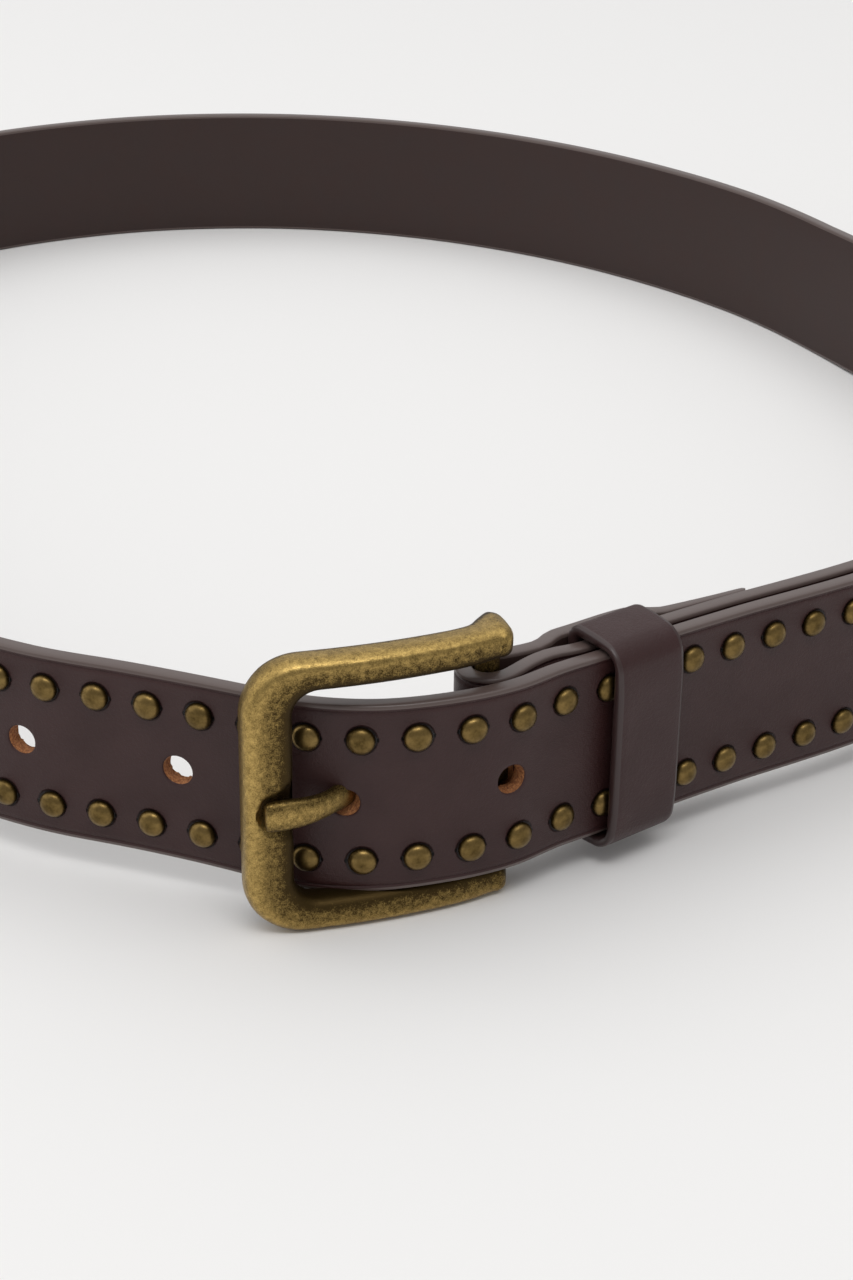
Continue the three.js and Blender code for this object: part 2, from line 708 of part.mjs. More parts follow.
function buildStrap() {
  let strap = solid(strapBand()).add(solid(studRows()));
  strap = strap.subtract(solid(tipCutter()));
  strap = strap.subtract(solid(hubSlot()));
  strap = strap.subtract(rivetHole());
  strap = strap.subtract(prongBody(FIT_GAP));
  const lastHole = tipStation - TIP_TO_LAST_HOLE;
  for (let hole = 0; hole < HOLE_COUNT; hole += 1) {
    const station = lastHole - hole * HOLE_SPACING;
    strap = strap.subtract(solid(punch(station, HOLE_DIAMETER, STRAP_THICKNESS + 2 * FIT_GAP)));
  }
  return strap;
}

const darkLeather = new THREE.MeshStandardMaterial({ color: 0x43302f, roughness: 0.5, metalness: 0 });
const redLeather = new THREE.MeshStandardMaterial({ color: 0x4a3130, roughness: 0.5, metalness: 0 });
const antiqueBrass = new THREE.MeshStandardMaterial({ color: 0x8a6f35, roughness: 0.42, metalness: 1 });

const belt = new THREE.Group();
belt.rotation.z = BUCKLE_YAW;

function addPiece(name, body, material) {
  const mesh = new THREE.Mesh(geometryOf(body), material);
  mesh.name = name;
  belt.add(mesh);
}

addPiece('strap', buildStrap(), darkLeather);
addPiece('buckle_frame', buildFrame(), antiqueBrass);
addPiece('buckle_prong', buildProng(), antiqueBrass.clone());
addPiece('keeper', buildKeeper(), redLeather);
addPiece('fold_rivet', buildRivet(), antiqueBrass.clone());

// The origin is the middle of the belt's footprint, on the floor
const product = new THREE.Group();
product.add(belt);
product.updateMatrixWorld(true);
const extent = new THREE.Box3().setFromObject(product, true);
const middle = extent.getCenter(new THREE.Vector3());
belt.position.set(-middle.x, -middle.y, -extent.min.z);
product.updateMatrixWorld(true);

export default product;
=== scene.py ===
"""A studded leather belt buckled into its waist loop, dressed round its fixed model.

Lengths are metres. The strap's route is worked out in the buckle's own frame, where x runs
from the buckle's leg to its bar, y towards the back of the loop and z up, and it is then
turned and moved to where the model has the buckle.
"""

import math

import bmesh
import bpy
import numpy as np
from mathutils import Matrix, Vector


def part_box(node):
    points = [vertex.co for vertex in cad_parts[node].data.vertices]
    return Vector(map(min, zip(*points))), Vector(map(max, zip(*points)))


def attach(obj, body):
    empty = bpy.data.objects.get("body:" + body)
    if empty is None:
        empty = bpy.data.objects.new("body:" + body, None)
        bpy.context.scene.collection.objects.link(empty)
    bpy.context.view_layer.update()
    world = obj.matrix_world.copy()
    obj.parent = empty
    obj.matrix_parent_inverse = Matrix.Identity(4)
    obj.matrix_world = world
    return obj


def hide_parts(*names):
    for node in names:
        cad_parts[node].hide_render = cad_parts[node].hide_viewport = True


bl_info = {
    "name": "Studded belt",
    "version": (1, 0, 0),
    "blender": (4, 5, 0),
    "location": "View3D > Sidebar > Belt",
    "description": "Builds a studded leather belt, its buckle and its keeper",
    "category": "Add Mesh",
}

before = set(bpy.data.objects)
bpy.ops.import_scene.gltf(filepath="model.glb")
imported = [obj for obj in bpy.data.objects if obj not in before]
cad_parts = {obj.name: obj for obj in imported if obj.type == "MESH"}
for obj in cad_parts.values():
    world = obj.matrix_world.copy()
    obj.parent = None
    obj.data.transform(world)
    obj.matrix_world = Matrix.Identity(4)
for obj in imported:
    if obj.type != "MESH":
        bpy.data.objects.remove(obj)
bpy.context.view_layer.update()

# Buckle: a leg, two arms with thicker ends swept back, and the bar between them
FRAME_HEIGHT = 0.0434
FRAME_DEPTH = 0.0055
FRAME_BOW = 0.0012
LEG_WIDTH = 0.0072
ARM_HEIGHT = 0.005
OUTER_CORNER = 0.0085
INNER_CORNER = 0.0038
LEG_TO_BAR = 0.034
HEEL_DEPTH = 0.0086
HEEL_SETBACK = 0.002
BAR_SETBACK = 0.0041
BAR_DIAMETER = 0.0036
BUCKLE_YAW = math.radians(20)
SLANT_AT_BAR = math.radians(14.5)
LEG_FROM_CORNER = (0.00367, 0.00306)

# Prong
PRONG_HOLE_TO_BAR = 0.0256
PRONG_WIDTH = 0.0046
PRONG_THICKNESS = 0.0024
HUB_WALL = 0.0019
HUB_WIDTH = 0.006
NOTCH_DEPTH = 0.0011

# Keeper
KEEPER_WIDTH = 0.0126
KEEPER_THICKNESS = 0.0019
BAR_TO_KEEPER = 0.0159
KEEPER_HEADROOM = 0.0005
KEEPER_DROOP = 0.0006
KEEPER_FRONT_RADIUS = 0.0043
KEEPER_BACK_RADIUS = 0.0027

# Strap
STRAP_WIDTH = 0.03
STRAP_THICKNESS = 0.0026
LOOP_ACROSS = 0.273
LOOP_BACK = 0.328
TIP_TO_LAST_HOLE = 0.1
TIP_ROUND = 0.014
HOLE_COUNT = 5
HOLE_SPACING = 0.025
BUCKLED_HOLE = 3
FOLD_LENGTH = 0.049
STUD_PITCH = 0.008
STUD_FROM_EDGE = 0.00535
TIP_TO_FIRST_STUD = 0.0114

# Rivet through the fold
RIVET_HEAD_DIAMETER = 0.0065
RIVET_HEAD_THICKNESS = 0.0005
RIVET_SHANK_DIAMETER = 0.003
RIVET_FROM_FOLD_END = 0.005

# Clearances
FIT_GAP = 0.0003
LAYER_GAP = 0.0004
BAR_GAP = 0.0004
OVERLAP_GAP = 0.0011
PINCH_GAP = 0.0018
KEEPER_GAP = 0.0005
RIVET_GAP = 0.00035
STUD_CLEARANCE = 0.0009
STUD_RISE = 0.0014
ARM_GAP = 0.00025

# How the layers lie
FRONT_DEPTH = STRAP_THICKNESS / 2
FOLD_RADIUS = BAR_DIAMETER / 2 + BAR_GAP + STRAP_THICKNESS / 2
BAR_DEPTH = STRAP_THICKNESS + LAYER_GAP + STRAP_THICKNESS / 2 + FOLD_RADIUS
STRAP_LIFT = ARM_HEIGHT + ARM_GAP
STRAP_MIDDLE = STRAP_LIFT + STRAP_WIDTH / 2
FRAME_MIDDLE = FRAME_HEIGHT / 2
RESTS_FROM = 0.74 * LOOP_BACK
FOLLOWS_GUIDE_FROM = 0.88

# Where the strap hangs lower in the buckle's window
SAG_DEPTH = 0.00078
SAG_FROM_LEG = 0.0067
SAG_REACH = 0.0108
SAG_STRETCH = 0.8

# Outer face of the belt from above. Columns: share of the way from leg to bar, and share
# of the way from behind the leg to in front of the bar
WINDOW_ROWS = ((0.05, 0), (0.23, 0.49), (0.49, 0.94), (0.78, 1.08))

# Columns: shares of the fold's length from the bar, along it and back
OVERLAP_ROWS = ((0.21, 0.066), (0.38, 0.114), (0.61, 0.19), (0.86, 0.262))

# Columns: shares of the loop's two extents from the leg, across and back
LOOP_ROWS = (
    (0.41, 0.0585), (0.562, 0.129), (0.672, 0.26), (0.703, 0.41),
    (0.697, 0.55), (0.664, 0.685), (0.576, 0.824), (0.46, 0.922),
    (0.325, 0.981), (0.174, 0.999), (0.01, 0.966), (-0.166, 0.843),
    (-0.27, 0.66), (-0.294, 0.472), (-0.245, 0.288), (-0.149, 0.133),
)

# Columns: shares of the way from leg to bar, along it and back, from behind the leg
LEG_ROWS = ((-0.88, 0.69), (-0.49, 0.38))

# Ends of the buckle's arms. Columns: share of leg to bar, share of the heel's setback,
# share of the way from the arm's depth to the heel's, share of the arm's height
HEEL_ROWS = (
    (0.8, 0, 0, 1), (0.89, 0.15, 0.08, 1), (0.94, 0.55, 0.5, 1), (0.99, 0.95, 0.92, 1),
    (1.015, 1, 1, 1), (1.045, 1, 0.6, 0.86), (1.066, 1, -0.5, 0.5),
)

# Prong behind and in front of the strap. Columns: share of the way from its hole, share
# of the rise or drop to the bar's or the leg's level, share of its width, of its thickness
PRONG_BACK_ROWS = (
    (0.87, 1, 1.1, 1.1), (0.56, 0.92, 1.25, 1.05), (0.27, 0.82, 1.34, 1.05),
    (0.12, 0.65, 1.3, 1.1), (0.05, 0.4, 1.1, 1.05), (0, 0, 0.9, 1),
)
PRONG_FRONT_ROWS = (
    (0.27, 0.61, 0.8, 0.95), (0.55, 0.93, 0.9, 1), (0.83, 1, 1, 0.95),
    (1.05, 1, 0.94, 0.85), (1.09, 1, 0.6, 0.5),
)


class BeltSizes(bpy.types.PropertyGroup):
    """Sizes of the belt's small forms"""

    edge_round: bpy.props.FloatProperty(
        name="Edge rounding", description="How far the strap's edges are rounded over",
        default=0.0007, unit="LENGTH")
    crease_from_edge: bpy.props.FloatProperty(
        name="Crease from edge", description="From the strap's edge to the line pressed along it",
        default=0.0011, unit="LENGTH")
    crease_depth: bpy.props.FloatProperty(
        name="Crease depth", description="How deep the line along each edge is pressed",
        default=0.00014, unit="LENGTH")
    hole_diameter: bpy.props.FloatProperty(
        name="Hole diameter", description="Across a size hole",
        default=0.0046, unit="LENGTH")
    stud_diameter: bpy.props.FloatProperty(
        name="Stud diameter", description="Across a stud's foot",
        default=0.0042, unit="LENGTH")
    stud_height: bpy.props.FloatProperty(
        name="Stud height", description="How far a stud stands out of the leather",
        default=STUD_RISE, unit="LENGTH")
    keeper_edge_round: bpy.props.FloatProperty(
        name="Keeper edge rounding", description="How far the keeper's edges are rounded over",
        default=0.0007, unit="LENGTH")


class BeltColours(bpy.types.PropertyGroup):
    """Colours of the belt's finishes, as sRGB hex"""

    leather: bpy.props.StringProperty(
        name="Leather", description="Finished side of the strap", default="#3B2120")
    leather_deep: bpy.props.StringProperty(
        name="Leather, deep", description="Darker parts of the strap's finish", default="#2E1716")
    edge: bpy.props.StringProperty(
        name="Edge paint", description="Painted edges of the strap", default="#594B47")
    keeper_edge: bpy.props.StringProperty(
        name="Keeper edge", description="Edges of the keeper", default="#352322")
    raw: bpy.props.StringProperty(
        name="Cut leather", description="Undyed walls of the size holes", default="#BE8250")
    back: bpy.props.StringProperty(
        name="Back", description="Inner side of the strap", default="#331C16")
    keeper: bpy.props.StringProperty(
        name="Keeper", description="Finished side of the keeper", default="#391E1E")
    brass: bpy.props.StringProperty(
        name="Brass", description="Worn brass of the buckle", default="#C6A765")
    patina: bpy.props.StringProperty(
        name="Patina", description="Darkened brass in the buckle's mottling", default="#3F3013")
    stud: bpy.props.StringProperty(
        name="Stud brass", description="Crowns of the studs", default="#877044")
    stud_rim: bpy.props.StringProperty(
        name="Stud rim", description="Darkened rims of the studs", default="#3A2D14")
    floor: bpy.props.StringProperty(
        name="Floor", description="Paper that the belt stands on", default="#F0EFEE")


def linear(colour):
    """An sRGB hex colour as a linear colour with alpha"""
    parts = [int(colour[start:start + 2], 16) / 255 for start in (1, 3, 5)]
    return (*[c / 12.92 if c <= 0.04045 else ((c + 0.055) / 1.055) ** 2.4 for c in parts], 1)


def smoothstep(value, low, high):
    share = np.clip((np.asarray(value, float) - low) / (high - low), 0, 1)
    return share * share * (3 - 2 * share)


def turned(angle):
    return np.array([[math.cos(angle), math.sin(angle)], [-math.sin(angle), math.cos(angle)]])


leg_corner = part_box("buckle_frame")[0]
leg_place = np.array([leg_corner.x + LEG_FROM_CORNER[0], leg_corner.y + LEG_FROM_CORNER[1]])


def to_model(points):
    """Points of the buckle's frame where the model has them"""
    moved = np.array(points, float)
    moved[:, :2] = moved[:, :2] @ turned(BUCKLE_YAW) + leg_place
    return moved


# Route of the strap

def guide_points():
    at_bar = BAR_SETBACK - BAR_DEPTH
    at_leg = FRAME_DEPTH / 2 + STUD_RISE + STUD_CLEARANCE
    leg_start = WINDOW_ROWS[0][0] * LEG_TO_BAR
    points = [(
        LEG_TO_BAR + BAR_DEPTH * math.sin(SLANT_AT_BAR),
        BAR_SETBACK - BAR_DEPTH * math.cos(SLANT_AT_BAR),
    )]
    for along, back in OVERLAP_ROWS:
        points.append((LEG_TO_BAR + along * FOLD_LENGTH, at_bar + back * FOLD_LENGTH))
    for across, back in LOOP_ROWS:
        points.append((across * LOOP_ACROSS, back * LOOP_BACK))
    for along, back in LEG_ROWS:
        points.append((leg_start + along * LEG_TO_BAR, at_leg + back * LEG_TO_BAR))
    for along, passed in WINDOW_ROWS:
        points.append((along * LEG_TO_BAR, at_leg + (at_bar - at_leg) * passed))
    return np.array(points)


def closed_curve(points, steps):
    """A smooth closed curve through points, its speed set by the roots of their distances"""
    share = np.linspace(0, 1, steps, endpoint=False)[:, None]
    stretches = []
    for index in range(len(points)):
        before, start, end, after = (points[(index + k) % len(points)] for k in (-1, 0, 1, 2))
        t0, t1, t2 = (math.sqrt(np.linalg.norm(b - a)) for a, b in (
            (before, start), (start, end), (end, after)))
        leave = t1 * ((start - before) / t0 - (end - before) / (t0 + t1) + (end - start) / t1)
        arrive = t1 * ((end - start) / t1 - (after - start) / (t1 + t2) + (after - end) / t2)
        bend = -3 * start + 3 * end - 2 * leave - arrive
        twist = 2 * start - 2 * end + leave + arrive
        stretches.append(start + leave * share + bend * share ** 2 + twist * share ** 3)
    return np.concatenate(stretches)


def lengths_along(points):
    steps = np.linalg.norm(np.diff(points, axis=0), axis=1)
    return np.concatenate([[0], np.cumsum(steps)])


def directions(points):
    run = np.gradient(points, axis=0)
    return run / np.linalg.norm(run, axis=1)[:, None]


guide = closed_curve(guide_points(), 200)
guide = np.concatenate([guide, guide[:1]])
guide_lengths = lengths_along(guide)
guide_directions = directions(guide)
loop_length = guide_lengths[-1]
tip_covers_to = TIP_TO_LAST_HOLE + (BUCKLED_HOLE - 1) * HOLE_SPACING - PRONG_HOLE_TO_BAR
tip_station = loop_length + tip_covers_to


def between(stations, at, rows):
    """Rows of two values at distances in between those that they are given at"""
    return np.stack([np.interp(stations, at, rows[:, k]) for k in (0, 1)], axis=-1)


def at_depth(stations, depths):
    """Places at distances along the guide from the bar, and at depths behind it"""
    wrapped = np.mod(stations, loop_length)
    face = between(wrapped, guide_lengths, guide)
    along = between(wrapped, guide_lengths, guide_directions)
    inward = np.stack([-along[:, 1], along[:, 0]], axis=1)
    return face + inward * np.asarray(depths, float).reshape(-1, 1)


def guide_frame(station):
    """A place on the guide, the way along it and the way in from it"""
    face, ahead = at_depth(np.array([station, station + 0.001]), 0)
    along = (ahead - face) / np.linalg.norm(ahead - face)
    return face, along, np.array([-along[1], along[0]])


# Columns: distance from the bar, gap in front of the middle layer, gap behind it
keeper_back = KEEPER_THICKNESS + 2 * KEEPER_GAP
FOLD_GAPS = (
    (0, LAYER_GAP, BAR_DIAMETER + 2 * BAR_GAP),
    (0.66 * BAR_TO_KEEPER, PINCH_GAP, LAYER_GAP),
    (0.93 * BAR_TO_KEEPER, OVERLAP_GAP, keeper_back),
    (BAR_TO_KEEPER + 1.05 * KEEPER_WIDTH, OVERLAP_GAP, keeper_back),
    (BAR_TO_KEEPER + 1.4 * KEEPER_WIDTH, OVERLAP_GAP, LAYER_GAP),
)


def fold_gap(stations, column):
    """Gap in front of the middle layer, column 1, or behind it, column 2"""
    gap = np.full(np.shape(stations), FOLD_GAPS[0][column], float)
    for before, after in zip(FOLD_GAPS, FOLD_GAPS[1:]):
        gap += (after[column] - before[column]) * smoothstep(stations, before[0], after[0])
    return gap


def strap_depth(stations):
    under = STRAP_THICKNESS * 1.5 + fold_gap(stations, 1)
    clear = tip_covers_to + STRAP_WIDTH / 2
    share = smoothstep(stations, clear, FOLLOWS_GUIDE_FROM * loop_length)
    return under + (FRONT_DEPTH - under) * share


def fold_back_depth(stations):
    return STRAP_THICKNESS * 2.5 + fold_gap(stations, 1) + fold_gap(stations, 2)


def lift(points):
    """How far the lower edge stands above the floor: the buckle holds the front up"""
    behind = points[:, 0] * math.sin(BUCKLE_YAW) + points[:, 1] * math.cos(BUCKLE_YAW)
    level = LEG_TO_BAR * math.sin(BUCKLE_YAW) + BAR_SETBACK * math.cos(BUCKLE_YAW)
    return STRAP_LIFT * (1 - np.clip((behind - level) / (RESTS_FROM - level), 0, 1))


def sag(points):
    """How far the strap hangs lower where the prong holds it, in the buckle's window"""
    near = np.exp(-((points[:, 0] - SAG_FROM_LEG) / SAG_REACH) ** 2)
    return SAG_DEPTH * near * (points[:, 1] < LEG_TO_BAR)


class Route:
    """The strap's middle surface from above, by distance past the bar, from fold to tip"""

    STEP = 0.00025
    SOFTENING = 0.0008

    def __init__(self):
        turn = math.pi * FOLD_RADIUS
        self.start = -turn - FOLD_LENGTH
        self.stations = np.arange(self.start, tip_station + self.STEP, self.STEP)
        folded = self.stations[self.stations < -turn]
        bent = self.stations[(self.stations >= -turn) & (self.stations < 0)]
        plain = self.stations[self.stations >= 0]
        back = -folded - turn
        along = guide_directions[0]
        inward = np.array([-along[1], along[0]])
        angle = (math.pi + bent / FOLD_RADIUS)[:, None]
        bend = np.array([LEG_TO_BAR, BAR_SETBACK]) + FOLD_RADIUS * (
            inward * np.cos(angle) - along * np.sin(angle))
        places = np.concatenate([
            at_depth(back, fold_back_depth(back)), bend, at_depth(plain, strap_depth(plain))])
        self.places = self.softened(places)
        self.directions = directions(self.places)

    def softened(self, places):
        reach = int(3 * self.SOFTENING / self.STEP)
        weights = np.exp(-0.5 * (np.arange(-reach, reach + 1) * self.STEP / self.SOFTENING) ** 2)
        weights /= weights.sum()
        first, last = places[0], places[-1]
        padded = np.concatenate([
            2 * first - places[reach:0:-1], places, 2 * last - places[-2:-reach - 2:-1]])
        return np.stack([np.convolve(padded[:, k], weights, "valid") for k in (0, 1)], axis=1)

    def frame_at(self, stations):
        place = between(stations, self.stations, self.places)
        along = between(stations, self.stations, self.directions)
        along /= np.linalg.norm(along, axis=-1, keepdims=True)
        outward = np.stack([along[..., 1], -along[..., 0]], axis=-1)
        return place, along, outward

    def points(self, spots):
        """Spots are rows of distance past the bar, height from the strap's middle, and
        distance out of its middle surface"""
        spots = np.asarray(spots, float).reshape(-1, 3)
        place, _, outward = self.frame_at(spots[:, 0])
        flat = place + outward * spots[:, 2:3]
        lowered = sag(flat) * (1 - SAG_STRETCH * spots[:, 1] / STRAP_WIDTH)
        height = lift(flat) - lowered + STRAP_WIDTH / 2 + spots[:, 1]
        return np.column_stack([flat, height])


route = Route()


# Mesh helpers

class Build:
    """Points, faces and what each point and face carries, gathered for one mesh"""

    def __init__(self):
        self.points = []
        self.spots = []
        self.marks = []
        self.faces = []
        self.kinds = []
        self.count = 0

    def add_points(self, points, spots=None, marks=None):
        points = np.asarray(points, float).reshape(-1, 3)
        first = self.count
        self.points.append(points)
        self.spots.append(points if spots is None else np.asarray(spots, float).reshape(-1, 3))
        self.marks.append(np.zeros((len(points), 3)) if marks is None else marks)
        self.count += len(points)
        return np.arange(first, self.count)

    def add_face(self, corners, kind=0):
        self.faces.append([int(corner) for corner in corners])
        self.kinds.append(kind)

    def add_band(self, first, second, kind=0):
        """Faces between two closed rows of points"""
        for side in range(len(first)):
            after = (side + 1) % len(first)
            self.add_face((first[side], first[after], second[after], second[side]), kind)

    def add_solid(self, rows):
        """Faces between closed rows of points, and over the first and the last"""
        for before, after in zip(rows, rows[1:]):
            self.add_band(before, after)
        self.add_face(rows[0][::-1])
        self.add_face(rows[-1])

    def mesh(self, name, materials, sharp=math.radians(50)):
        data = bpy.data.meshes.new(name)
        data.from_pydata(to_model(np.concatenate(self.points)).tolist(), [], self.faces)
        for material in materials:
            data.materials.append(material)
        data.polygons.foreach_set("material_index", self.kinds)
        data.polygons.foreach_set("use_smooth", [True] * len(self.faces))
        for label, rows in (("spot", self.spots), ("mark", self.marks)):
            attribute = data.attributes.new(label, "FLOAT_VECTOR", "POINT")
            attribute.data.foreach_set("vector", np.concatenate(rows).astype(np.float32).ravel())
        data.validate()
        work = bmesh.new()
        work.from_mesh(data)
        bmesh.ops.recalc_face_normals(work, faces=work.faces)
        work.to_mesh(data)
        work.free()
        data.set_sharp_from_angle(angle=sharp)
        piece = bpy.data.objects.new(name, data)
        bpy.context.scene.collection.objects.link(piece)
        return piece


def finish_piece(piece, node):
    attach(piece, "root")
    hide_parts(node)


def circle(sides):
    angle = np.arange(sides) / sides * 2 * math.pi
    return np.stack([np.cos(angle), np.sin(angle)], axis=1)


def oval(sides, power):
    """Points of a rounded section from -1 to 1 both ways, squarer for a lower power"""
    angle = (np.arange(sides) + 0.5) / sides * 2 * math.pi
    cosine, sine = np.cos(angle), np.sin(angle)
    return np.stack([
        np.sign(cosine) * np.abs(cosine) ** power, np.sign(sine) * np.abs(sine) ** power], axis=1)


def smooth_rows(rows, count):
    """More rows on a smooth run through the given ones, evenly spread along them"""
    rows = np.asarray(rows, float)
    ends = np.concatenate([[2 * rows[0] - rows[1]], rows, [2 * rows[-1] - rows[-2]]])
    at = np.linspace(0, len(rows) - 1, count)
    index = np.minimum(at.astype(int), len(rows) - 2)
    share = (at - index)[:, None]
    before, start, end, after = (ends[index + k] for k in range(4))
    return start + 0.5 * share * (
        end - before + share * (
            2 * before - 5 * start + 4 * end - after + share * (
                3 * (start - end) + after - before)))


# Nodes and materials

def set_inputs(tree, node, values):
    for key, value in values.items():
        if isinstance(value, bpy.types.NodeSocket):
            tree.links.new(value, node.inputs[key])
        else:
            node.inputs[key].default_value = value


def add_node(tree, kind, inputs=None, output=0, **settings):
    """Adds a node with its settings, and with values or links for its inputs. Gives the
    output asked for, or all of them for None"""
    made = tree.nodes.new(kind)
    for name, value in settings.items():
        setattr(made, name, value)
    set_inputs(tree, made, inputs or {})
    return made.outputs if output is None else made.outputs[output]


def new_material(name):
    material = bpy.data.materials.new(name)
    material.use_nodes = True
    tree = material.node_tree
    tree.nodes.clear()
    surface = tree.nodes.new("ShaderNodeBsdfPrincipled")
    target = tree.nodes.new("ShaderNodeOutputMaterial")
    tree.links.new(surface.outputs[0], target.inputs["Surface"])
    return material, tree, surface


def millimetres(tree):
    """Each point's stored spot on its piece, in millimetres"""
    spot = add_node(tree, "ShaderNodeAttribute", output="Vector", attribute_name="spot")
    return add_node(tree, "ShaderNodeVectorMath", {0: spot, 1: (1000, 1000, 1000)}, operation="MULTIPLY")


LEATHER_IOR = 1.5
CLOUD_MM = 9.0
MOTTLE_MM = 0.9

# Real pores and brushed specks are finer: these are drawn coarse enough to show
GRAIN_MM = 0.55
PORE_MM = 0.22
SPECK_MM = 0.2

# Ring of painted contact shade round a stud's foot, where the leather is also pressed in, from and to this
# far from its middle, and the slits beside it
DIMPLE_AND_SHADE_RING_MM = (2.1, 2.45)
SLIT_FROM_STUD_MM = 2.25
SLIT_MM = (0.14, 0.26)
SLIT_WIDTH_SHARE = 0.55


def stud_shade_rings_and_slits(tree, spot):
    """Rings of painted contact shade, where the leather is also pressed in, and prong slits round the studs,
    as a share of darkness
    """
    station, rise, out = add_node(tree, "ShaderNodeSeparateXYZ", {0: spot}, output=None)
    first = (tip_station - TIP_TO_FIRST_STUD) * 1000
    pitch = STUD_PITCH * 1000
    from_stud = add_node(tree, "ShaderNodeMath", {0: station, 1: first + pitch / 2},
                         operation="SUBTRACT")
    wrapped = add_node(tree, "ShaderNodeMath", {0: from_stud, 1: pitch}, operation="FLOORED_MODULO")
    along = add_node(tree, "ShaderNodeMath", {0: wrapped, 1: pitch / 2}, operation="SUBTRACT")
    height = add_node(tree, "ShaderNodeMath", {0: rise}, operation="ABSOLUTE")
    row = (STRAP_WIDTH / 2 - STUD_FROM_EDGE) * 1000
    across = add_node(tree, "ShaderNodeMath", {0: height, 1: row}, operation="SUBTRACT")
    offset = add_node(tree, "ShaderNodeCombineXYZ", {0: along, 1: across})
    reach = add_node(tree, "ShaderNodeVectorMath", {0: offset}, output="Value", operation="LENGTH")
    # Ring of painted contact shade round the stud's foot, also used below to press the leather in
    ring = add_node(tree, "ShaderNodeMapRange", {
        0: reach, 1: DIMPLE_AND_SHADE_RING_MM[0], 2: DIMPLE_AND_SHADE_RING_MM[1], 3: 1, 4: 0}, interpolation_type="SMOOTHSTEP")
    side = add_node(tree, "ShaderNodeMath", {0: along}, operation="ABSOLUTE")
    from_slit = add_node(tree, "ShaderNodeMath", {0: side, 1: SLIT_FROM_STUD_MM},
                         operation="SUBTRACT")
    slit_across = add_node(tree, "ShaderNodeMath", {0: across, 1: SLIT_WIDTH_SHARE},
                           operation="MULTIPLY")
    slit_offset = add_node(tree, "ShaderNodeCombineXYZ", {0: from_slit, 1: slit_across})
    slit_reach = add_node(tree, "ShaderNodeVectorMath", {0: slit_offset}, output="Value", operation="LENGTH")
    slit = add_node(tree, "ShaderNodeMapRange", {
        0: slit_reach, 1: SLIT_MM[0], 2: SLIT_MM[1], 3: 1, 4: 0}, interpolation_type="SMOOTHSTEP")
    studs_from = (tip_covers_to + STUD_PITCH) * 1000
    studded = add_node(tree, "ShaderNodeMath", {0: station, 1: studs_from},
                       operation="GREATER_THAN")
    outside = add_node(tree, "ShaderNodeMath", {0: out, 1: 0}, operation="GREATER_THAN")
    here = add_node(tree, "ShaderNodeMath", {0: studded, 1: outside}, operation="MULTIPLY")
    dimple_and_shade_ring = add_node(tree, "ShaderNodeMath", {0: ring, 1: here}, operation="MULTIPLY")
    slit_here = add_node(tree, "ShaderNodeMath", {0: slit, 1: here}, operation="MULTIPLY")
    return dimple_and_shade_ring, slit_here


def finished_leather(name, light, deep, studded):
    """Full-grain leather, dyed through and finished with a satin top coat: it shows soft
    highlights over a fine pebbled grain, with slightly darker clouds in the dye"""
    material, tree, surface = new_material(name)
    spot = millimetres(tree)
    clouds = add_node(tree, "ShaderNodeTexNoise", {
        "Vector": spot, "Scale": 1 / CLOUD_MM, "Detail": 4.0, "Roughness": 0.6})
    colour = add_node(tree, "ShaderNodeMix", {0: clouds, 6: linear(light), 7: linear(deep)},
                      output=2, data_type="RGBA")
    pebbles = add_node(tree, "ShaderNodeTexVoronoi", {
        "Vector": spot, "Scale": 1 / GRAIN_MM, "Randomness": 0.9}, output="Distance", feature="SMOOTH_F1")
    pores = add_node(tree, "ShaderNodeTexNoise", {
        "Vector": spot, "Scale": 1 / PORE_MM, "Detail": 2.0, "Roughness": 0.5})
    relief = add_node(tree, "ShaderNodeMath", {0: pebbles, 1: 0.6, 2: pores},
                      operation="MULTIPLY_ADD")
    roughness = add_node(tree, "ShaderNodeMapRange", {0: clouds, 1: 0.3, 2: 0.7, 3: 0.42, 4: 0.52})
    normal = add_node(tree, "ShaderNodeBump", {
        "Strength": 0.9, "Distance": 0.00008, "Height": relief})
    if studded:
        ring, slit = stud_shade_rings_and_slits(tree, spot)
        # Painted contact shadow: the leather is darkened in a ring round each stud's foot
        painted_contact_shade = add_node(tree, "ShaderNodeMath", {0: ring, 1: 0.85}, operation="MULTIPLY")
        colour = add_node(tree, "ShaderNodeMix", {0: painted_contact_shade, 6: colour, 7: linear("#0B0606")},
                          output=2, data_type="RGBA")
        colour = add_node(tree, "ShaderNodeMix", {0: slit, 6: colour, 7: linear("#060404")},
                          output=2, data_type="RGBA")
        pressed = add_node(tree, "ShaderNodeMath", {0: ring, 1: slit}, operation="ADD")
        hollow = add_node(tree, "ShaderNodeMath", {0: pressed, 1: -1}, operation="MULTIPLY")
        normal = add_node(tree, "ShaderNodeBump", {
            "Strength": 0.6, "Distance": 0.0003, "Height": hollow, "Normal": normal})
    set_inputs(tree, surface, {
        "Base Color": colour, "Roughness": roughness, "Normal": normal, "IOR": LEATHER_IOR,
        "Coat Weight": 0.04, "Coat Roughness": 0.3, "Specular IOR Level": 0.36})
    return material


def edge_paint(name, colour):
    """Acrylic edge paint, rubbed smooth: it is a little glossier than the leather"""
    material, tree, surface = new_material(name)
    spot = millimetres(tree)
    ripple = add_node(tree, "ShaderNodeTexNoise", {"Vector": spot, "Scale": 0.5, "Detail": 3.0})
    normal = add_node(tree, "ShaderNodeBump", {
        "Strength": 0.3, "Distance": 0.0001, "Height": ripple})
    set_inputs(tree, surface, {
        "Base Color": linear(colour), "Roughness": 0.36, "Normal": normal, "IOR": LEATHER_IOR,
        "Coat Weight": 0.1, "Coat Roughness": 0.3})
    return material


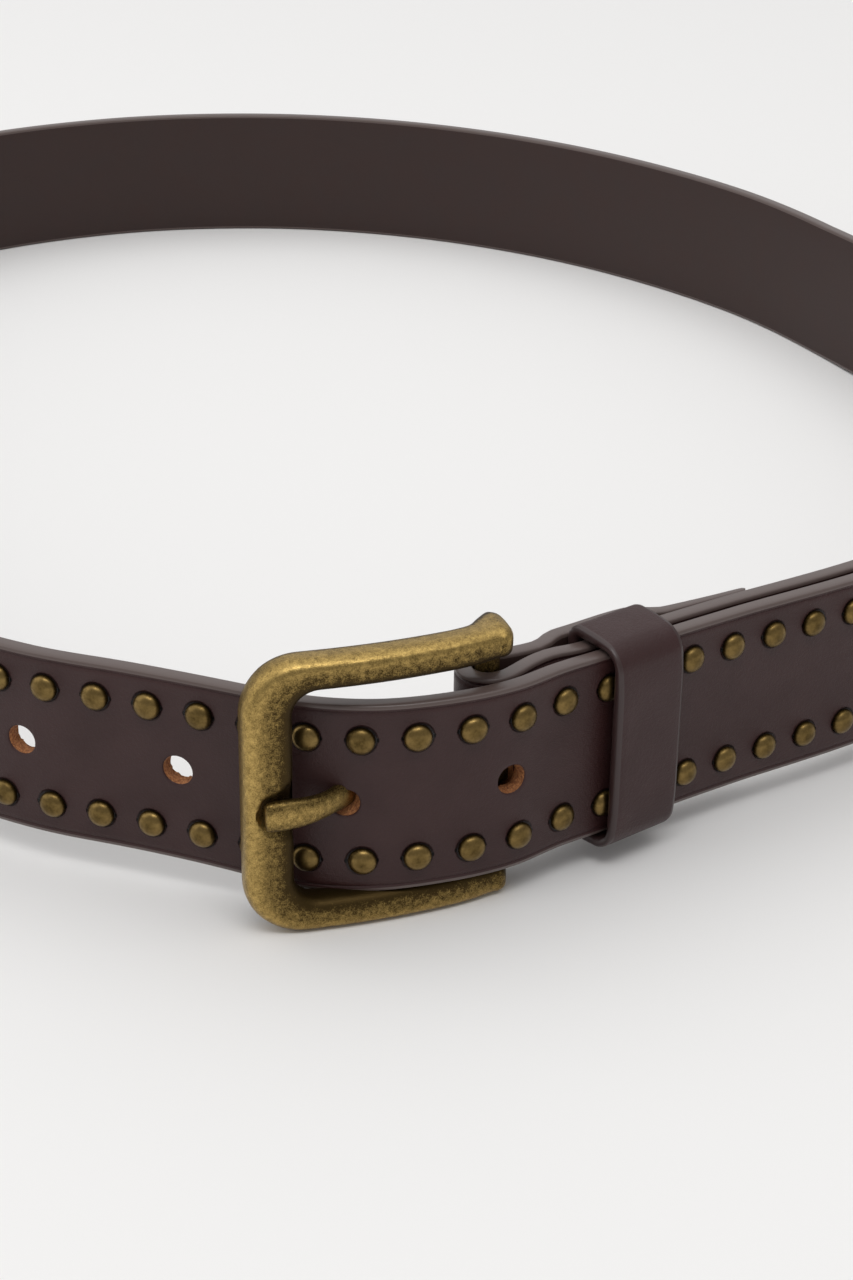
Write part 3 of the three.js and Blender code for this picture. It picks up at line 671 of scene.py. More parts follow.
def cut_leather(name, colour):
    """Vegetable-tanned leather cut by a punch: undyed, fibrous and matt"""
    material, tree, surface = new_material(name)
    spot = millimetres(tree)
    fibres = add_node(tree, "ShaderNodeTexNoise", {
        "Vector": spot, "Scale": 3.0, "Detail": 6.0, "Roughness": 0.7})
    shade = add_node(tree, "ShaderNodeMapRange", {0: fibres, 1: 0.35, 2: 0.65, 3: 0, 4: 1})
    mixed = add_node(tree, "ShaderNodeMix", {0: shade, 6: linear(colour), 7: linear("#6B3B20")},
                     output=2, data_type="RGBA")
    normal = add_node(tree, "ShaderNodeBump", {
        "Strength": 0.8, "Distance": 0.0002, "Height": fibres})
    set_inputs(tree, surface, {"Base Color": mixed, "Roughness": 0.85, "Normal": normal, "IOR": LEATHER_IOR})
    return material


def leather_back(name, colour):
    """The strap's inner side: leather lining, dyed to match and almost matt"""
    material, tree, surface = new_material(name)
    spot = millimetres(tree)
    clouds = add_node(tree, "ShaderNodeTexNoise", {
        "Vector": spot, "Scale": 0.15, "Detail": 5.0, "Roughness": 0.6})
    mixed = add_node(tree, "ShaderNodeMix", {0: clouds, 6: linear(colour), 7: linear("#2E1F1C")},
                     output=2, data_type="RGBA")
    grain = add_node(tree, "ShaderNodeTexNoise", {
        "Vector": spot, "Scale": 3.5, "Detail": 3.0, "Roughness": 0.6})
    normal = add_node(tree, "ShaderNodeBump", {
        "Strength": 0.3, "Distance": 0.00008, "Height": grain})
    set_inputs(tree, surface, {"Base Color": mixed, "Roughness": 0.6, "Normal": normal, "IOR": LEATHER_IOR})
    return material


def antique_brass(name, light, dark):
    """Cast brass, blackened and then brushed back: brown patina stays in fine specks and clouds, the crests
    are worn to a satin yellow, and the rail is darker towards its inner edge and on its back"""
    material, tree, surface = new_material(name)
    spot = millimetres(tree)
    mark = add_node(tree, "ShaderNodeAttribute", output="Vector", attribute_name="mark")
    wear, inner_and_back_darkening, _ = add_node(tree, "ShaderNodeSeparateXYZ", {0: mark}, output=None)
    mottle = add_node(tree, "ShaderNodeTexNoise", {
        "Vector": spot, "Scale": 1 / MOTTLE_MM, "Detail": 8.0, "Roughness": 0.68, "Distortion": 0.4})
    specks = add_node(tree, "ShaderNodeTexNoise", {
        "Vector": spot, "Scale": 1 / SPECK_MM, "Detail": 3.0, "Roughness": 0.6})
    blend = add_node(tree, "ShaderNodeMath", {0: specks, 1: 0.8, 2: mottle}, operation="MULTIPLY_ADD")
    worn = add_node(tree, "ShaderNodeMath", {0: wear, 1: 0.32, 2: blend}, operation="MULTIPLY_ADD")
    # The second mark darkens the rail towards its inner edge and on its back
    rubbed = add_node(tree, "ShaderNodeMath", {0: inner_and_back_darkening, 1: -0.36, 2: worn}, operation="MULTIPLY_ADD")
    bright = add_node(tree, "ShaderNodeMapRange", {0: rubbed, 1: 0.78, 2: 1.46, 3: 0, 4: 1})
    colour = add_node(tree, "ShaderNodeMix", {0: bright, 6: linear(dark), 7: linear(light)},
                      output=2, data_type="RGBA")
    roughness = add_node(tree, "ShaderNodeMapRange", {0: bright, 1: 0, 2: 1, 3: 0.44, 4: 0.29})
    metallic = add_node(tree, "ShaderNodeMapRange", {0: bright, 1: 0, 2: 0.5, 3: 0.85, 4: 1})
    normal = add_node(tree, "ShaderNodeBump", {
        "Strength": 0.5, "Distance": 0.0001, "Height": blend})
    set_inputs(tree, surface, {
        "Base Color": colour, "Roughness": roughness, "Metallic": metallic, "Normal": normal})
    return material


def stud_brass(name, light, dark):
    """Pressed brass caps, tumbled in patina: satin crowns over dark rims, with a painted dark reflection in
    the middle of each crown
    """
    material, tree, surface = new_material(name)
    spot = millimetres(tree)
    mark = add_node(tree, "ShaderNodeAttribute", output="Vector", attribute_name="mark")
    reach, _, tone = add_node(tree, "ShaderNodeSeparateXYZ", {0: mark}, output=None)
    specks = add_node(tree, "ShaderNodeTexNoise", {
        "Vector": spot, "Scale": 1.8, "Detail": 5.0, "Roughness": 0.65})
    rim = add_node(tree, "ShaderNodeMapRange", {0: reach, 1: 0.86, 2: 1.0, 3: 0, 4: 0.75},
                   interpolation_type="SMOOTHSTEP")
    # Painted reflection: the middle of each crown is darkened like the reflection of the dark room in front
    middle = add_node(tree, "ShaderNodeMapRange", {0: reach, 1: 0.05, 2: 0.75, 3: 0.36, 4: 0},
                      interpolation_type="SMOOTHSTEP")
    stain = add_node(tree, "ShaderNodeMapRange", {0: specks, 1: 0.4, 2: 0.7, 3: 0.0, 4: 0.35})
    stain_and_painted_reflection = add_node(tree, "ShaderNodeMath", {0: middle, 1: stain}, operation="ADD")
    darkness = add_node(tree, "ShaderNodeMath", {0: rim, 1: stain_and_painted_reflection}, operation="ADD", use_clamp=True)
    shade = add_node(tree, "ShaderNodeMath", {0: tone, 1: 0.25, 2: darkness},
                     operation="MULTIPLY_ADD", use_clamp=True)
    colour = add_node(tree, "ShaderNodeMix", {0: shade, 6: linear(light), 7: linear(dark)},
                      output=2, data_type="RGBA")
    roughness = add_node(tree, "ShaderNodeMapRange", {0: shade, 1: 0, 2: 1, 3: 0.3, 4: 0.48})
    set_inputs(tree, surface, {"Base Color": colour, "Roughness": roughness, "Metallic": 1.0})
    return material


def seamless_paper(name, colour):
    """Matt white background paper"""
    material, tree, surface = new_material(name)
    set_inputs(tree, surface, {"Base Color": linear(colour), "Roughness": 0.9, "IOR": 1.45})
    return material


# Strap with its studs

LINING, EDGE, CUT, STUD = 1, 2, 3, 4
CELLS_PER_HOLE_PITCH = 16
HOLE_BLOCK = 4
CELL = HOLE_SPACING / CELLS_PER_HOLE_PITCH
EDGE_STEPS = 9
SKIVE_LENGTH = 0.026
SKIVED_SHARE = 0.55
SKIVE_NARROWING = 0.0012
SHOULDER_FROM_EDGE = 0.0022
SLOT_MARGIN = 0.002
STUD_SIDES = 24
STUD_WANDER = 0.00008
CREASE_LOWER_SIDE = 0.00022
CREASE_UPPER_SIDE = 0.00018
EDGE_DROP = 0.00003
EDGE_SQUARENESS = 0.55

# The hole that the prong pulls: its size, its shift, and how many times the shift its wall
# comes back by at the inner side, where it leans on the prong
PULLED_HOLE_SHARE = 0.92
PULLED_HOLE_SHIFT = (0.0003, -0.00035)
PULLED_HOLE_LEAN = 2.6

FLANK_LINES = (0.0083, 0.0100, 0.0117, 0.0131)


def strap_profile(sizes):
    """Ring of the strap's section: height and distance out, each with its finish. It runs
    up the outer face, over the top edge, down the inner face and under the bottom edge"""
    half = STRAP_WIDTH / 2
    thick = STRAP_THICKNESS / 2
    flat = half - sizes.edge_round
    crease = half - sizes.crease_from_edge
    middle = [k * CELL for k in range(-HOLE_BLOCK, HOLE_BLOCK + 1)]
    upper = [(v, thick, 0) for v in FLANK_LINES]
    upper += [
        (crease - CREASE_LOWER_SIDE, thick, 0), (crease, thick - sizes.crease_depth, 0),
        (crease + CREASE_UPPER_SIDE, thick - EDGE_DROP, 0), (flat, thick - EDGE_DROP, 0)]
    outer = [(-v, w, kind) for v, w, kind in reversed(upper)]
    outer += [(v, thick, 0) for v in middle] + upper
    edge = []
    for step in range(1, EDGE_STEPS):
        angle = math.pi * step / EDGE_STEPS
        sine, cosine = math.sin(angle), math.cos(angle)
        out = (thick - EDGE_DROP) * math.copysign(abs(cosine) ** EDGE_SQUARENESS, cosine)
        edge.append((flat + sizes.edge_round * sine ** EDGE_SQUARENESS, out, EDGE))
    inner_flanks = [(flat, -thick, LINING), (FLANK_LINES[1], -thick, LINING)]
    inner = inner_flanks + [(v, -thick, LINING) for v in reversed(middle)]
    inner += [(-v, w, kind) for v, w, kind in reversed(inner_flanks)]
    under = [(-v, -w, kind) for v, w, kind in edge]
    ring = outer + edge + inner + under
    outer_middle = len(upper)
    inner_middle = len(outer) + len(edge) + len(inner_flanks)
    return ring, outer_middle, inner_middle


def strap_columns():
    """Distances along the strap at which its section is set, and where its holes are"""
    holes = [tip_station - TIP_TO_LAST_HOLE - k * HOLE_SPACING for k in range(HOLE_COUNT)]
    first = math.ceil((route.start + 0.001 - holes[0]) / CELL)
    last = math.floor((tip_station - TIP_ROUND - holes[0]) / CELL)
    columns = [holes[0] + k * CELL for k in range(first, last + 1)]
    turn = math.pi * FOLD_RADIUS
    bends = [s for s in columns if -turn - CELL < s < CELL]
    for station in bends:
        columns += [station + CELL * share for share in (0.25, 0.5, 0.75)]
    columns += [route.start + step for step in (0, 0.0002, 0.0005)]
    for step in range(11):
        share = 1 - math.sin(math.pi / 2 * step / 11)
        columns.append(tip_station - TIP_ROUND * share)
    columns += [tip_station - step for step in (0.00012, 0.0003)]
    return np.array(sorted(columns)), holes


def section_scale(station):
    """Half width and share of the thickness of the strap near its two ends"""
    from_tip = tip_station - station
    half = STRAP_WIDTH / 2
    if from_tip < TIP_ROUND:
        half *= math.sqrt(max(1 - (1 - from_tip / TIP_ROUND) ** 2, 0.0004))
    ending = min(from_tip, station - route.start)
    rounding = STRAP_THICKNESS / 3
    thick = math.sqrt(max(1 - (1 - min(ending / rounding, 1)) ** 2, 0)) * 0.7 + 0.3
    return half, thick


def skived(station):
    """Share of the leather's thickness left where its folded end is pared down"""
    return SKIVED_SHARE + (1 - SKIVED_SHARE) * smoothstep(station - route.start, 0, SKIVE_LENGTH)


def strap_spots(station, ring):
    """The section's places at one column"""
    half, thick = section_scale(station)
    left = float(skived(station))
    half -= SKIVE_NARROWING * (1 - left)
    pared = -(1 - left) * STRAP_THICKNESS / 2
    full = STRAP_WIDTH / 2
    shoulder = full - SHOULDER_FROM_EDGE
    spots = []
    for v, w, _ in ring:
        size = abs(v)
        if half < full - shoulder:
            size *= half / full
        elif size > shoulder:
            size = half - (full - size)
        else:
            size *= (half - full + shoulder) / shoulder
        spots.append((station, math.copysign(size, v), w * thick * left + pared))
    return spots


def block_border(columns, lines):
    """Border of a block of the grid, once round"""
    first, last = columns
    low, high = lines
    border = [(c, low) for c in range(first, last)]
    border += [(last, j) for j in range(low, high)]
    border += [(c, high) for c in range(last, first, -1)]
    border += [(first, j) for j in range(high, low, -1)]
    return border


def opening_rows(grid, border, outer, inner):
    """A border's points on the strap's outer and inner side"""
    return ([grid[c][outer + j] for c, j in border],
            [grid[c][inner + 2 * HOLE_BLOCK - j] for c, j in border])


def add_hole(build, grid, centre, station, outer, inner, radius, shift, chance):
    """A punched hole: rows of points from the grid's square to a round, fibrous wall"""
    border = block_border((centre - HOLE_BLOCK, centre + HOLE_BLOCK), (0, 2 * HOLE_BLOCK))
    count = len(border)
    outer_row, inner_row = opening_rows(grid, border, outer, inner)
    square = np.array([((c - centre) * CELL, (j - HOLE_BLOCK) * CELL) for c, j in border])
    angle = np.arctan2(square[:, 1], square[:, 0])
    round_way = np.stack([np.cos(angle), np.sin(angle)], axis=1)
    thick = STRAP_THICKNESS / 2
    rows = [
        (0.4, 1.0, thick, 0, 0), (0.75, 1.0, thick, 0, 0), (1, 1.22, thick, 0, 0),
        (1, 1.08, thick - 0.00002, 0, 0), (1, 1.02, thick - 0.0001, 0, 0), (1, 1.0, thick - 0.00025, 0, 0),
        (1, 0.99, thick * 0.5, CUT, 0.02), (1, 0.98, 0, CUT, 0.03), (1, 0.97, -thick * 0.5, CUT, 0.05),
        (1, 0.97, -thick + 0.0002, CUT, 0.07), (1, 1.03, -thick, CUT, 0.04),
        (1, 1.3, -thick, LINING, 0), (0.6, 1.2, -thick, LINING, 0),
    ]
    previous = outer_row
    for share, size, out, kind, rough in rows:
        reach = radius * size * (1 + rough * chance.standard_normal(count))[:, None]
        back_by = smoothstep(-out, -thick, thick) * PULLED_HOLE_LEAN
        flat = square * (1 - share) + (round_way * reach + np.array(shift) * (1 - back_by)) * share
        spots = np.column_stack([station + flat[:, 0], flat[:, 1], np.full(count, out)])
        row = build.add_points(route.points(spots), spots)
        build.add_band(previous, row, kind)
        previous = row
    build.add_band(previous, inner_row, LINING)


def add_slot(build, grid, columns, lines, outer, inner):
    """Walls of the slot that leaves room for the prong's hub"""
    rows = opening_rows(grid, block_border(columns, lines), outer, inner)
    build.add_band(*rows, CUT)


def stud_profile(sizes):
    """Share of the radius and of the height, up a stud's side and over its crown"""
    radius = sizes.stud_diameter / 2
    height = sizes.stud_height
    rows = (
        (0.9, -0.3), (0.985, 0.0), (1.0, 0.12), (0.985, 0.27), (0.93, 0.43), (0.84, 0.6),
        (0.71, 0.75), (0.55, 0.865), (0.38, 0.94), (0.19, 0.985))
    return [(share * radius, rise * height) for share, rise in rows]


def add_stud(build, station, height, profile, sides, tone):
    _, along, outward = route.frame_at(np.array([station]))
    spot = (station, height, STRAP_THICKNESS / 2)
    origin = route.points([spot])[0]
    across = np.append(along[0], 0)
    out = np.append(outward[0], 0)
    up = np.array([0, 0, 1])
    widest = max(reach for reach, _ in profile)
    top = profile[-1][1] * 1.012
    previous = None
    for reach, rise in profile:
        flat = circle(sides) * reach
        points = origin + flat[:, :1] * across + flat[:, 1:] * up + out * rise
        spots = np.column_stack([station + flat[:, 0], height + flat[:, 1], np.full(sides, rise + spot[2])])
        marks = np.tile((reach / widest, rise / top, tone), (sides, 1))
        row = build.add_points(points, spots, marks)
        if previous is None:
            build.add_face(row[::-1], STUD)
        else:
            build.add_band(previous, row, STUD)
        previous = row
    middle = (station, height, spot[2] + top)
    crown = build.add_points([origin + out * top], [middle], np.array([[0, 1, tone]]))
    for side in range(sides):
        build.add_face((previous[side], previous[(side + 1) % sides], crown[0]), STUD)


class BELT_OT_strap(bpy.types.Operator):
    """Build the strap with its holes and studs"""

    bl_idname = "belt.strap"
    bl_label = "Strap"

    def execute(self, context):
        sizes = context.scene.belt_sizes
        colours = context.scene.belt_colours
        ring, outer, inner = strap_profile(sizes)
        columns, holes = strap_columns()
        build = Build()
        grid = []
        for station in columns:
            spots = strap_spots(station, ring)
            grid.append(build.add_points(route.points(spots), spots))
        centres = [int(np.argmin(np.abs(columns - hole))) for hole in holes]
        turn = math.pi * FOLD_RADIUS
        slot_from = int(np.argmin(np.abs(columns + turn + SLOT_MARGIN)))
        slot_to = int(np.argmin(np.abs(columns - SLOT_MARGIN)))
        slot_lines = (HOLE_BLOCK - 3, HOLE_BLOCK + 3)
        removed = set()
        blocks = [(c - HOLE_BLOCK, c + HOLE_BLOCK, 0, 2 * HOLE_BLOCK) for c in centres]
        blocks.append((slot_from, slot_to, *slot_lines))
        for first, last, low, high in blocks:
            for column in range(first, last):
                for line in range(low, high):
                    removed.add((column, outer + line))
                    removed.add((column, inner + 2 * HOLE_BLOCK - 1 - line))
        count = len(ring)
        for column in range(len(columns) - 1):
            for line in range(count):
                if (column, line) in removed:
                    continue
                after = (line + 1) % count
                kinds = (ring[line][2], ring[after][2])
                kind = max(kinds) if EDGE in kinds else kinds[0]
                here, ahead = grid[column], grid[column + 1]
                build.add_face((here[line], ahead[line], ahead[after], here[after]), kind)
        build.add_face(grid[0], EDGE)
        build.add_face(grid[-1][::-1], EDGE)
        radius = sizes.hole_diameter / 2
        chance = np.random.default_rng(5)
        for index, (centre, hole) in enumerate(zip(centres, holes)):
            pulled = index == BUCKLED_HOLE - 1
            size = radius * (PULLED_HOLE_SHARE if pulled else 1)
            shift = PULLED_HOLE_SHIFT if pulled else (0, 0)
            add_hole(build, grid, centre, hole, outer, inner, size, shift, chance)
        add_slot(build, grid, (slot_from, slot_to), slot_lines, outer, inner)
        profile = stud_profile(sizes)
        row_height = STRAP_WIDTH / 2 - STUD_FROM_EDGE
        station = tip_station - TIP_TO_FIRST_STUD
        while station > tip_covers_to + 1.2 * STUD_PITCH:
            for height in (row_height, -row_height):
                near = station + STUD_WANDER * chance.standard_normal()
                add_stud(build, near, height, profile, STUD_SIDES, chance.random())
            station -= STUD_PITCH
        piece = build.mesh("strap_with_studs", [
            finished_leather("bridle_leather", colours.leather, colours.leather_deep, True),
            leather_back("leather_lining", colours.back),
            edge_paint("edge_paint", colours.edge),
            cut_leather("punched_leather", colours.raw),
            stud_brass("tumbled_brass", colours.stud, colours.stud_rim),
        ])
        finish_piece(piece, "strap")
        return {"FINISHED"}


# Buckle

RAIL_SIDES = 40
RAIL_STEP = 0.0006
RAIL_SQUARENESS = 0.74
CREST_RISE = 0.00022
BAR_SIDES = 24
BAR_ROWS = 9
PRONG_SIDES = 28
PRONG_ROWS = 56
PRONG_SQUARENESS = 0.78
ROUND_SIDES = 32


def rail_rows():
    """Rows down the frame's rail from the top arm's end to the bottom arm's: inner and
    outer edge in x and z, depth and setback"""
    half = FRAME_HEIGHT / 2
    inside = half - ARM_HEIGHT
    edge = LEG_WIDTH / 2
    rows = []
    leg_steps = int((inside - INNER_CORNER) / RAIL_STEP)
    for step in range(leg_steps):
        share = step / leg_steps
        rows.append((edge, share * (inside - INNER_CORNER), -edge, share * (half - OUTER_CORNER)))
    inner_pivot = (edge + INNER_CORNER, inside - INNER_CORNER)
    outer_pivot = (OUTER_CORNER - edge, half - OUTER_CORNER)
    corner_steps = 18
    for step in range(corner_steps + 1):
        angle = math.pi / 2 * step / corner_steps
        x, z = -math.cos(angle), math.sin(angle)
        rows.append((
            inner_pivot[0] + INNER_CORNER * x, inner_pivot[1] + INNER_CORNER * z,
            outer_pivot[0] + OUTER_CORNER * x, outer_pivot[1] + OUTER_CORNER * z))
    start = edge + INNER_CORNER
    end = HEEL_ROWS[0][0] * LEG_TO_BAR
    arm_steps = int((end - start) / RAIL_STEP)
    for step in range(1, arm_steps):
        x = start + (end - start) * step / arm_steps
        rows.append((x, inside, x - (start - outer_pivot[0]) * (1 - step / arm_steps), half))
    rows = [(*row, FRAME_DEPTH, 0) for row in rows]
    for along, setback, swell, height in smooth_rows(HEEL_ROWS, 20):
        slack = ARM_HEIGHT / 2 * (1 - height)
        depth = FRAME_DEPTH + (HEEL_DEPTH - FRAME_DEPTH) * swell
        x = along * LEG_TO_BAR
        rows.append((x, inside + slack, x, half - slack, depth, setback * HEEL_SETBACK))
    lower = [(a, -b, c, -d, e, f) for a, b, c, d, e, f in rows[1:]]
    return np.array(lower[::-1] + rows)


def bow(x):
    return FRAME_BOW * np.sin(math.pi * np.clip(x / LEG_TO_BAR, 0, 1))


def notch_depth(x, z):
    """How far the leg's front is hollowed under the prong's tip"""
    flare = 1 + 0.5 * smoothstep(x, 0, LEG_WIDTH / 2)
    across = np.abs(z - STRAP_MIDDLE) / ((PRONG_WIDTH / 2 + 0.0008) * flare)
    along = np.clip((0.0006 - x) / 0.0026, 0, 2)
    return NOTCH_DEPTH * 1.15 * np.sqrt(np.clip(1 - across ** 2 - along ** 2, 0, 1))


class BELT_OT_buckle_frame(bpy.types.Operator):
    """Build the buckle's frame and its bar"""

    bl_idname = "belt.buckle_frame"
    bl_label = "Buckle frame"

    def execute(self, context):
        colours = context.scene.belt_colours
        build = Build()
        section = oval(RAIL_SIDES, RAIL_SQUARENESS)
        lines = []
        for row in rail_rows():
            inner = row[:2]
            outer = row[2:4]
            depth, setback = row[4:]
            centre = (inner + outer) / 2
            across = (outer - inner) / 2
            flat = centre + across * section[:, :1]
            crest = np.exp(-((section[:, 0] - 0.75) / 0.5) ** 2) * (section[:, 1] > -0.4)
            front = setback - bow(flat[:, 0]) - section[:, 1] * depth / 2 - CREST_RISE * crest
            z = FRAME_MIDDLE + flat[:, 1]
            y = front + notch_depth(flat[:, 0], z) * (section[:, 1] > 0.2)
            points = np.column_stack([flat[:, 0], y, z])
            # Darker towards the rail's inner edge and on its back
            inner_and_back_darkening = smoothstep(-section[:, 0], 0.1, 1) + (section[:, 1] < -0.5)
            marks = np.column_stack([crest, np.minimum(inner_and_back_darkening, 1), np.zeros(len(crest))])
            lines.append(build.add_points(points, None, marks))
        build.add_solid(lines)
        around = (LEG_TO_BAR, BAR_SETBACK) + BAR_DIAMETER / 2 * circle(BAR_SIDES)
        heights = np.linspace(ARM_HEIGHT / 2, FRAME_HEIGHT - ARM_HEIGHT / 2, BAR_ROWS)
        build.add_solid([
            build.add_points(np.column_stack([around, np.full(BAR_SIDES, height)]))
            for height in heights])
        brass = antique_brass("cast_brass_frame", colours.brass, colours.patina)
        piece = build.mesh("antique_frame", [brass])
        finish_piece(piece, "buckle_frame")
        return {"FINISHED"}


def prong_rows():
    hole = at_depth(np.array([-PRONG_HOLE_TO_BAR]), FRONT_DEPTH)[0]
    bar_level = BAR_SETBACK - BAR_DIAMETER / 4
    leg_level = NOTCH_DEPTH - FIT_GAP - (FRAME_DEPTH + PRONG_THICKNESS) / 2
    rows = []
    for target, table in (((LEG_TO_BAR, bar_level), PRONG_BACK_ROWS), ((0, leg_level), PRONG_FRONT_ROWS)):
        for along, level, width, thickness in table:
            x = hole[0] + (target[0] - hole[0]) * along
            y = hole[1] + (target[1] - hole[1]) * level
            rows.append((x, y, width * PRONG_WIDTH, thickness * PRONG_THICKNESS))
    return rows


class BELT_OT_prong(bpy.types.Operator):
    """Build the prong and its hub"""

    bl_idname = "belt.prong"
    bl_label = "Prong"

    def execute(self, context):
        colours = context.scene.belt_colours
        build = Build()
        rows = smooth_rows(prong_rows(), PRONG_ROWS)
        middle = rows[:, :2]
        along = directions(middle)
        section = oval(PRONG_SIDES, PRONG_SQUARENESS)
        lines = []
        for index, (x, y, width, thickness) in enumerate(rows):
            across = np.array([-along[index][1], along[index][0], 0])
            points = np.array([x, y, STRAP_MIDDLE]) + (
                section[:, :1] * thickness / 2 * across
                + section[:, 1:] * np.array([0, 0, width / 2]))
            crest = np.exp(-(section[:, 1] / 0.6) ** 2) * 0.8
            marks = np.column_stack([crest, np.zeros((len(crest), 2))])
            lines.append(build.add_points(points, None, marks))
        build.add_solid(lines)
        inside = BAR_DIAMETER / 2 + FIT_GAP
        outside = inside + HUB_WALL
        corner = 0.0005
        half = HUB_WIDTH / 2
        profile = [
            (inside, -half + corner / 2), (inside + corner / 2, -half), (outside - corner, -half),
            (outside, -half + corner), (outside, half - corner), (outside - corner, half),
            (inside + corner / 2, half), (inside, half - corner / 2)]
        loops = [build.add_points(np.column_stack([
            (LEG_TO_BAR, BAR_SETBACK) + reach * circle(ROUND_SIDES),
            np.full(ROUND_SIDES, STRAP_MIDDLE + height)])) for reach, height in profile]
        for before, after in zip(loops, loops[1:] + loops[:1]):
            build.add_band(before, after)
        brass = antique_brass("cast_brass_prong", colours.brass, colours.patina)
        piece = build.mesh("antique_prong", [brass])
        finish_piece(piece, "buckle_prong")
        return {"FINISHED"}


# Keeper

CORNER_PRESS = 0.64
CORNER_PRESS_REACH = 0.0036
KEEPER_STEP = 0.0012
CORNER_STEPS = 12
KEEPER_LINES = 10
BEVEL_STEPS = 6


def keeper_path():
    """Middle of the keeper's wall, once round: depth and height, with its outward way and
    the share of the wall's outer half that bending leaves"""
    middle = BAR_TO_KEEPER + KEEPER_WIDTH / 2
    wall = KEEPER_THICKNESS / 2
    front = -STUD_RISE - FIT_GAP - wall
    back = 2 * STRAP_THICKNESS + float(fold_gap(middle, 1)) + KEEPER_GAP + wall
    bottom = -KEEPER_DROOP - wall
    top = STRAP_WIDTH + KEEPER_HEADROOM + wall
    front_radius = KEEPER_FRONT_RADIUS - wall
    back_radius = KEEPER_BACK_RADIUS - wall
    corners = (
        (back - back_radius, bottom + back_radius, back_radius, -90),
        (back - back_radius, top - back_radius, back_radius, 0),
        (front + front_radius, top - front_radius, front_radius, 90),
        (front + front_radius, bottom + front_radius, front_radius, 180),
    )
    path = []
    for x, z, radius, start in corners:
        for step in range(CORNER_STEPS + 1):
            angle = math.radians(start + 90 * step / CORNER_STEPS)
            way = np.array([math.cos(angle), math.sin(angle)])
            path.append((np.array([x, z]) + radius * way, way))
    dense = []
    for index, (place, way) in enumerate(path):
        after, after_way = path[(index + 1) % len(path)]
        count = max(1, int(np.linalg.norm(after - place) / KEEPER_STEP))
        for step in range(count):
            share = step / count
            mixed = way + (after_way - way) * share
            dense.append((place + (after - place) * share, mixed / np.linalg.norm(mixed)))
    pressed = []
    for place, way in dense:
        near = math.inf
        for x, z, radius, start in corners[2:]:
            angle = math.radians(start + 45)
            crown = np.array([x + radius * math.cos(angle), z + radius * math.sin(angle)])
            near = min(near, np.linalg.norm(place - crown))
        pressed.append((place, way, 1 - CORNER_PRESS * math.exp(-(near / CORNER_PRESS_REACH) ** 2)))
    return pressed


class BELT_OT_keeper(bpy.types.Operator):
    """Build the keeper"""

    bl_idname = "belt.keeper"
    bl_label = "Keeper"

    def execute(self, context):
        sizes = context.scene.belt_sizes
        colours = context.scene.belt_colours
        middle = BAR_TO_KEEPER + KEEPER_WIDTH / 2
        face, along, inward = guide_frame(middle)
        base = float(lift(face[None, :])[0])
        half = KEEPER_WIDTH / 2
        wall = KEEPER_THICKNESS / 2
        bevel = sizes.keeper_edge_round
        profile = [(a, wall, 0) for a in np.linspace(-half + bevel, half - bevel, KEEPER_LINES)]
        for step in range(1, BEVEL_STEPS):
            angle = math.pi * step / BEVEL_STEPS
            profile.append((half - bevel + bevel * math.sin(angle) ** 0.7, wall * math.cos(angle), 1))
        half_way = len(profile)
        profile += [(-a, -wall, 2) for a, _, _ in profile[:KEEPER_LINES]]
        profile += [(-a, -w, 1) for a, w, _ in profile[KEEPER_LINES:half_way]]
        build = Build()
        loops = []
        run = 0
        path = keeper_path()
        for index, (place, way, left) in enumerate(path):
            points, spots = [], []
            for a, w, _ in profile:
                depth, height = place + way * (w * left if w > 0 else w)
                flat = face + along * a + inward * depth
                points.append((flat[0], flat[1], base + height))
                spots.append((a, run, w))
            loops.append(build.add_points(points, spots))
            run += float(np.linalg.norm(path[(index + 1) % len(path)][0] - place))
        count = len(profile)
        for before, after in zip(loops, loops[1:] + loops[:1]):
            for line in range(count):
                beyond = (line + 1) % count
                kind = max(profile[line][2] % 2, profile[beyond][2] % 2) or profile[line][2]
                build.add_face((before[line], after[line], after[beyond], before[beyond]), kind)
        piece = build.mesh("leather_keeper", [
            finished_leather("keeper_leather", colours.keeper, colours.leather_deep, False),
            edge_paint("keeper_edge", colours.keeper_edge),
            leather_back("keeper_back", colours.back),
        ])
        finish_piece(piece, "keeper")
        return {"FINISHED"}


class BELT_OT_rivet(bpy.types.Operator):
    """Build the rivet that holds the fold"""

    bl_idname = "belt.rivet"
    bl_label = "Rivet"

    def execute(self, context):
        colours = context.scene.belt_colours
        station = FOLD_LENGTH - RIVET_FROM_FOLD_END
        face, along, inward = guide_frame(station)
        front = STRAP_THICKNESS + float(fold_gap(station, 1)) - RIVET_GAP
        left = float(skived(route.start + RIVET_FROM_FOLD_END))
        back = float(fold_back_depth(station)) + STRAP_THICKNESS * (left - 0.5) + RIVET_GAP
        head = RIVET_HEAD_DIAMETER / 2
        shank = RIVET_SHANK_DIAMETER / 2
        rise = RIVET_HEAD_THICKNESS
        profile = [
            (head * 0.5, front - rise), (head * 0.85, front - 0.8 * rise), (head, front - 0.3 * rise),
            (head, front), (shank, front), (shank, back), (head, back), (head, back + 0.3 * rise),
            (head * 0.85, back + 0.8 * rise), (head * 0.5, back + rise)]
        origin = np.array([face[0], face[1], float(lift(face[None, :])[0]) + STRAP_WIDTH / 2])
        sideways = np.append(along, 0)
        around = circle(ROUND_SIDES)
        build = Build()
        loops = []
        for reach, depth in profile:
            points = origin + np.append(inward, 0) * depth + reach * (
                around[:, :1] * sideways + around[:, 1:] * np.array([0, 0, 1]))
            loops.append(build.add_points(points))
        build.add_solid(loops)
        piece = build.mesh("fold_rivet_heads", [antique_brass("rivet_brass", colours.brass, colours.patina)])
        finish_piece(piece, "fold_rivet")
        return {"FINISHED"}


# Stage

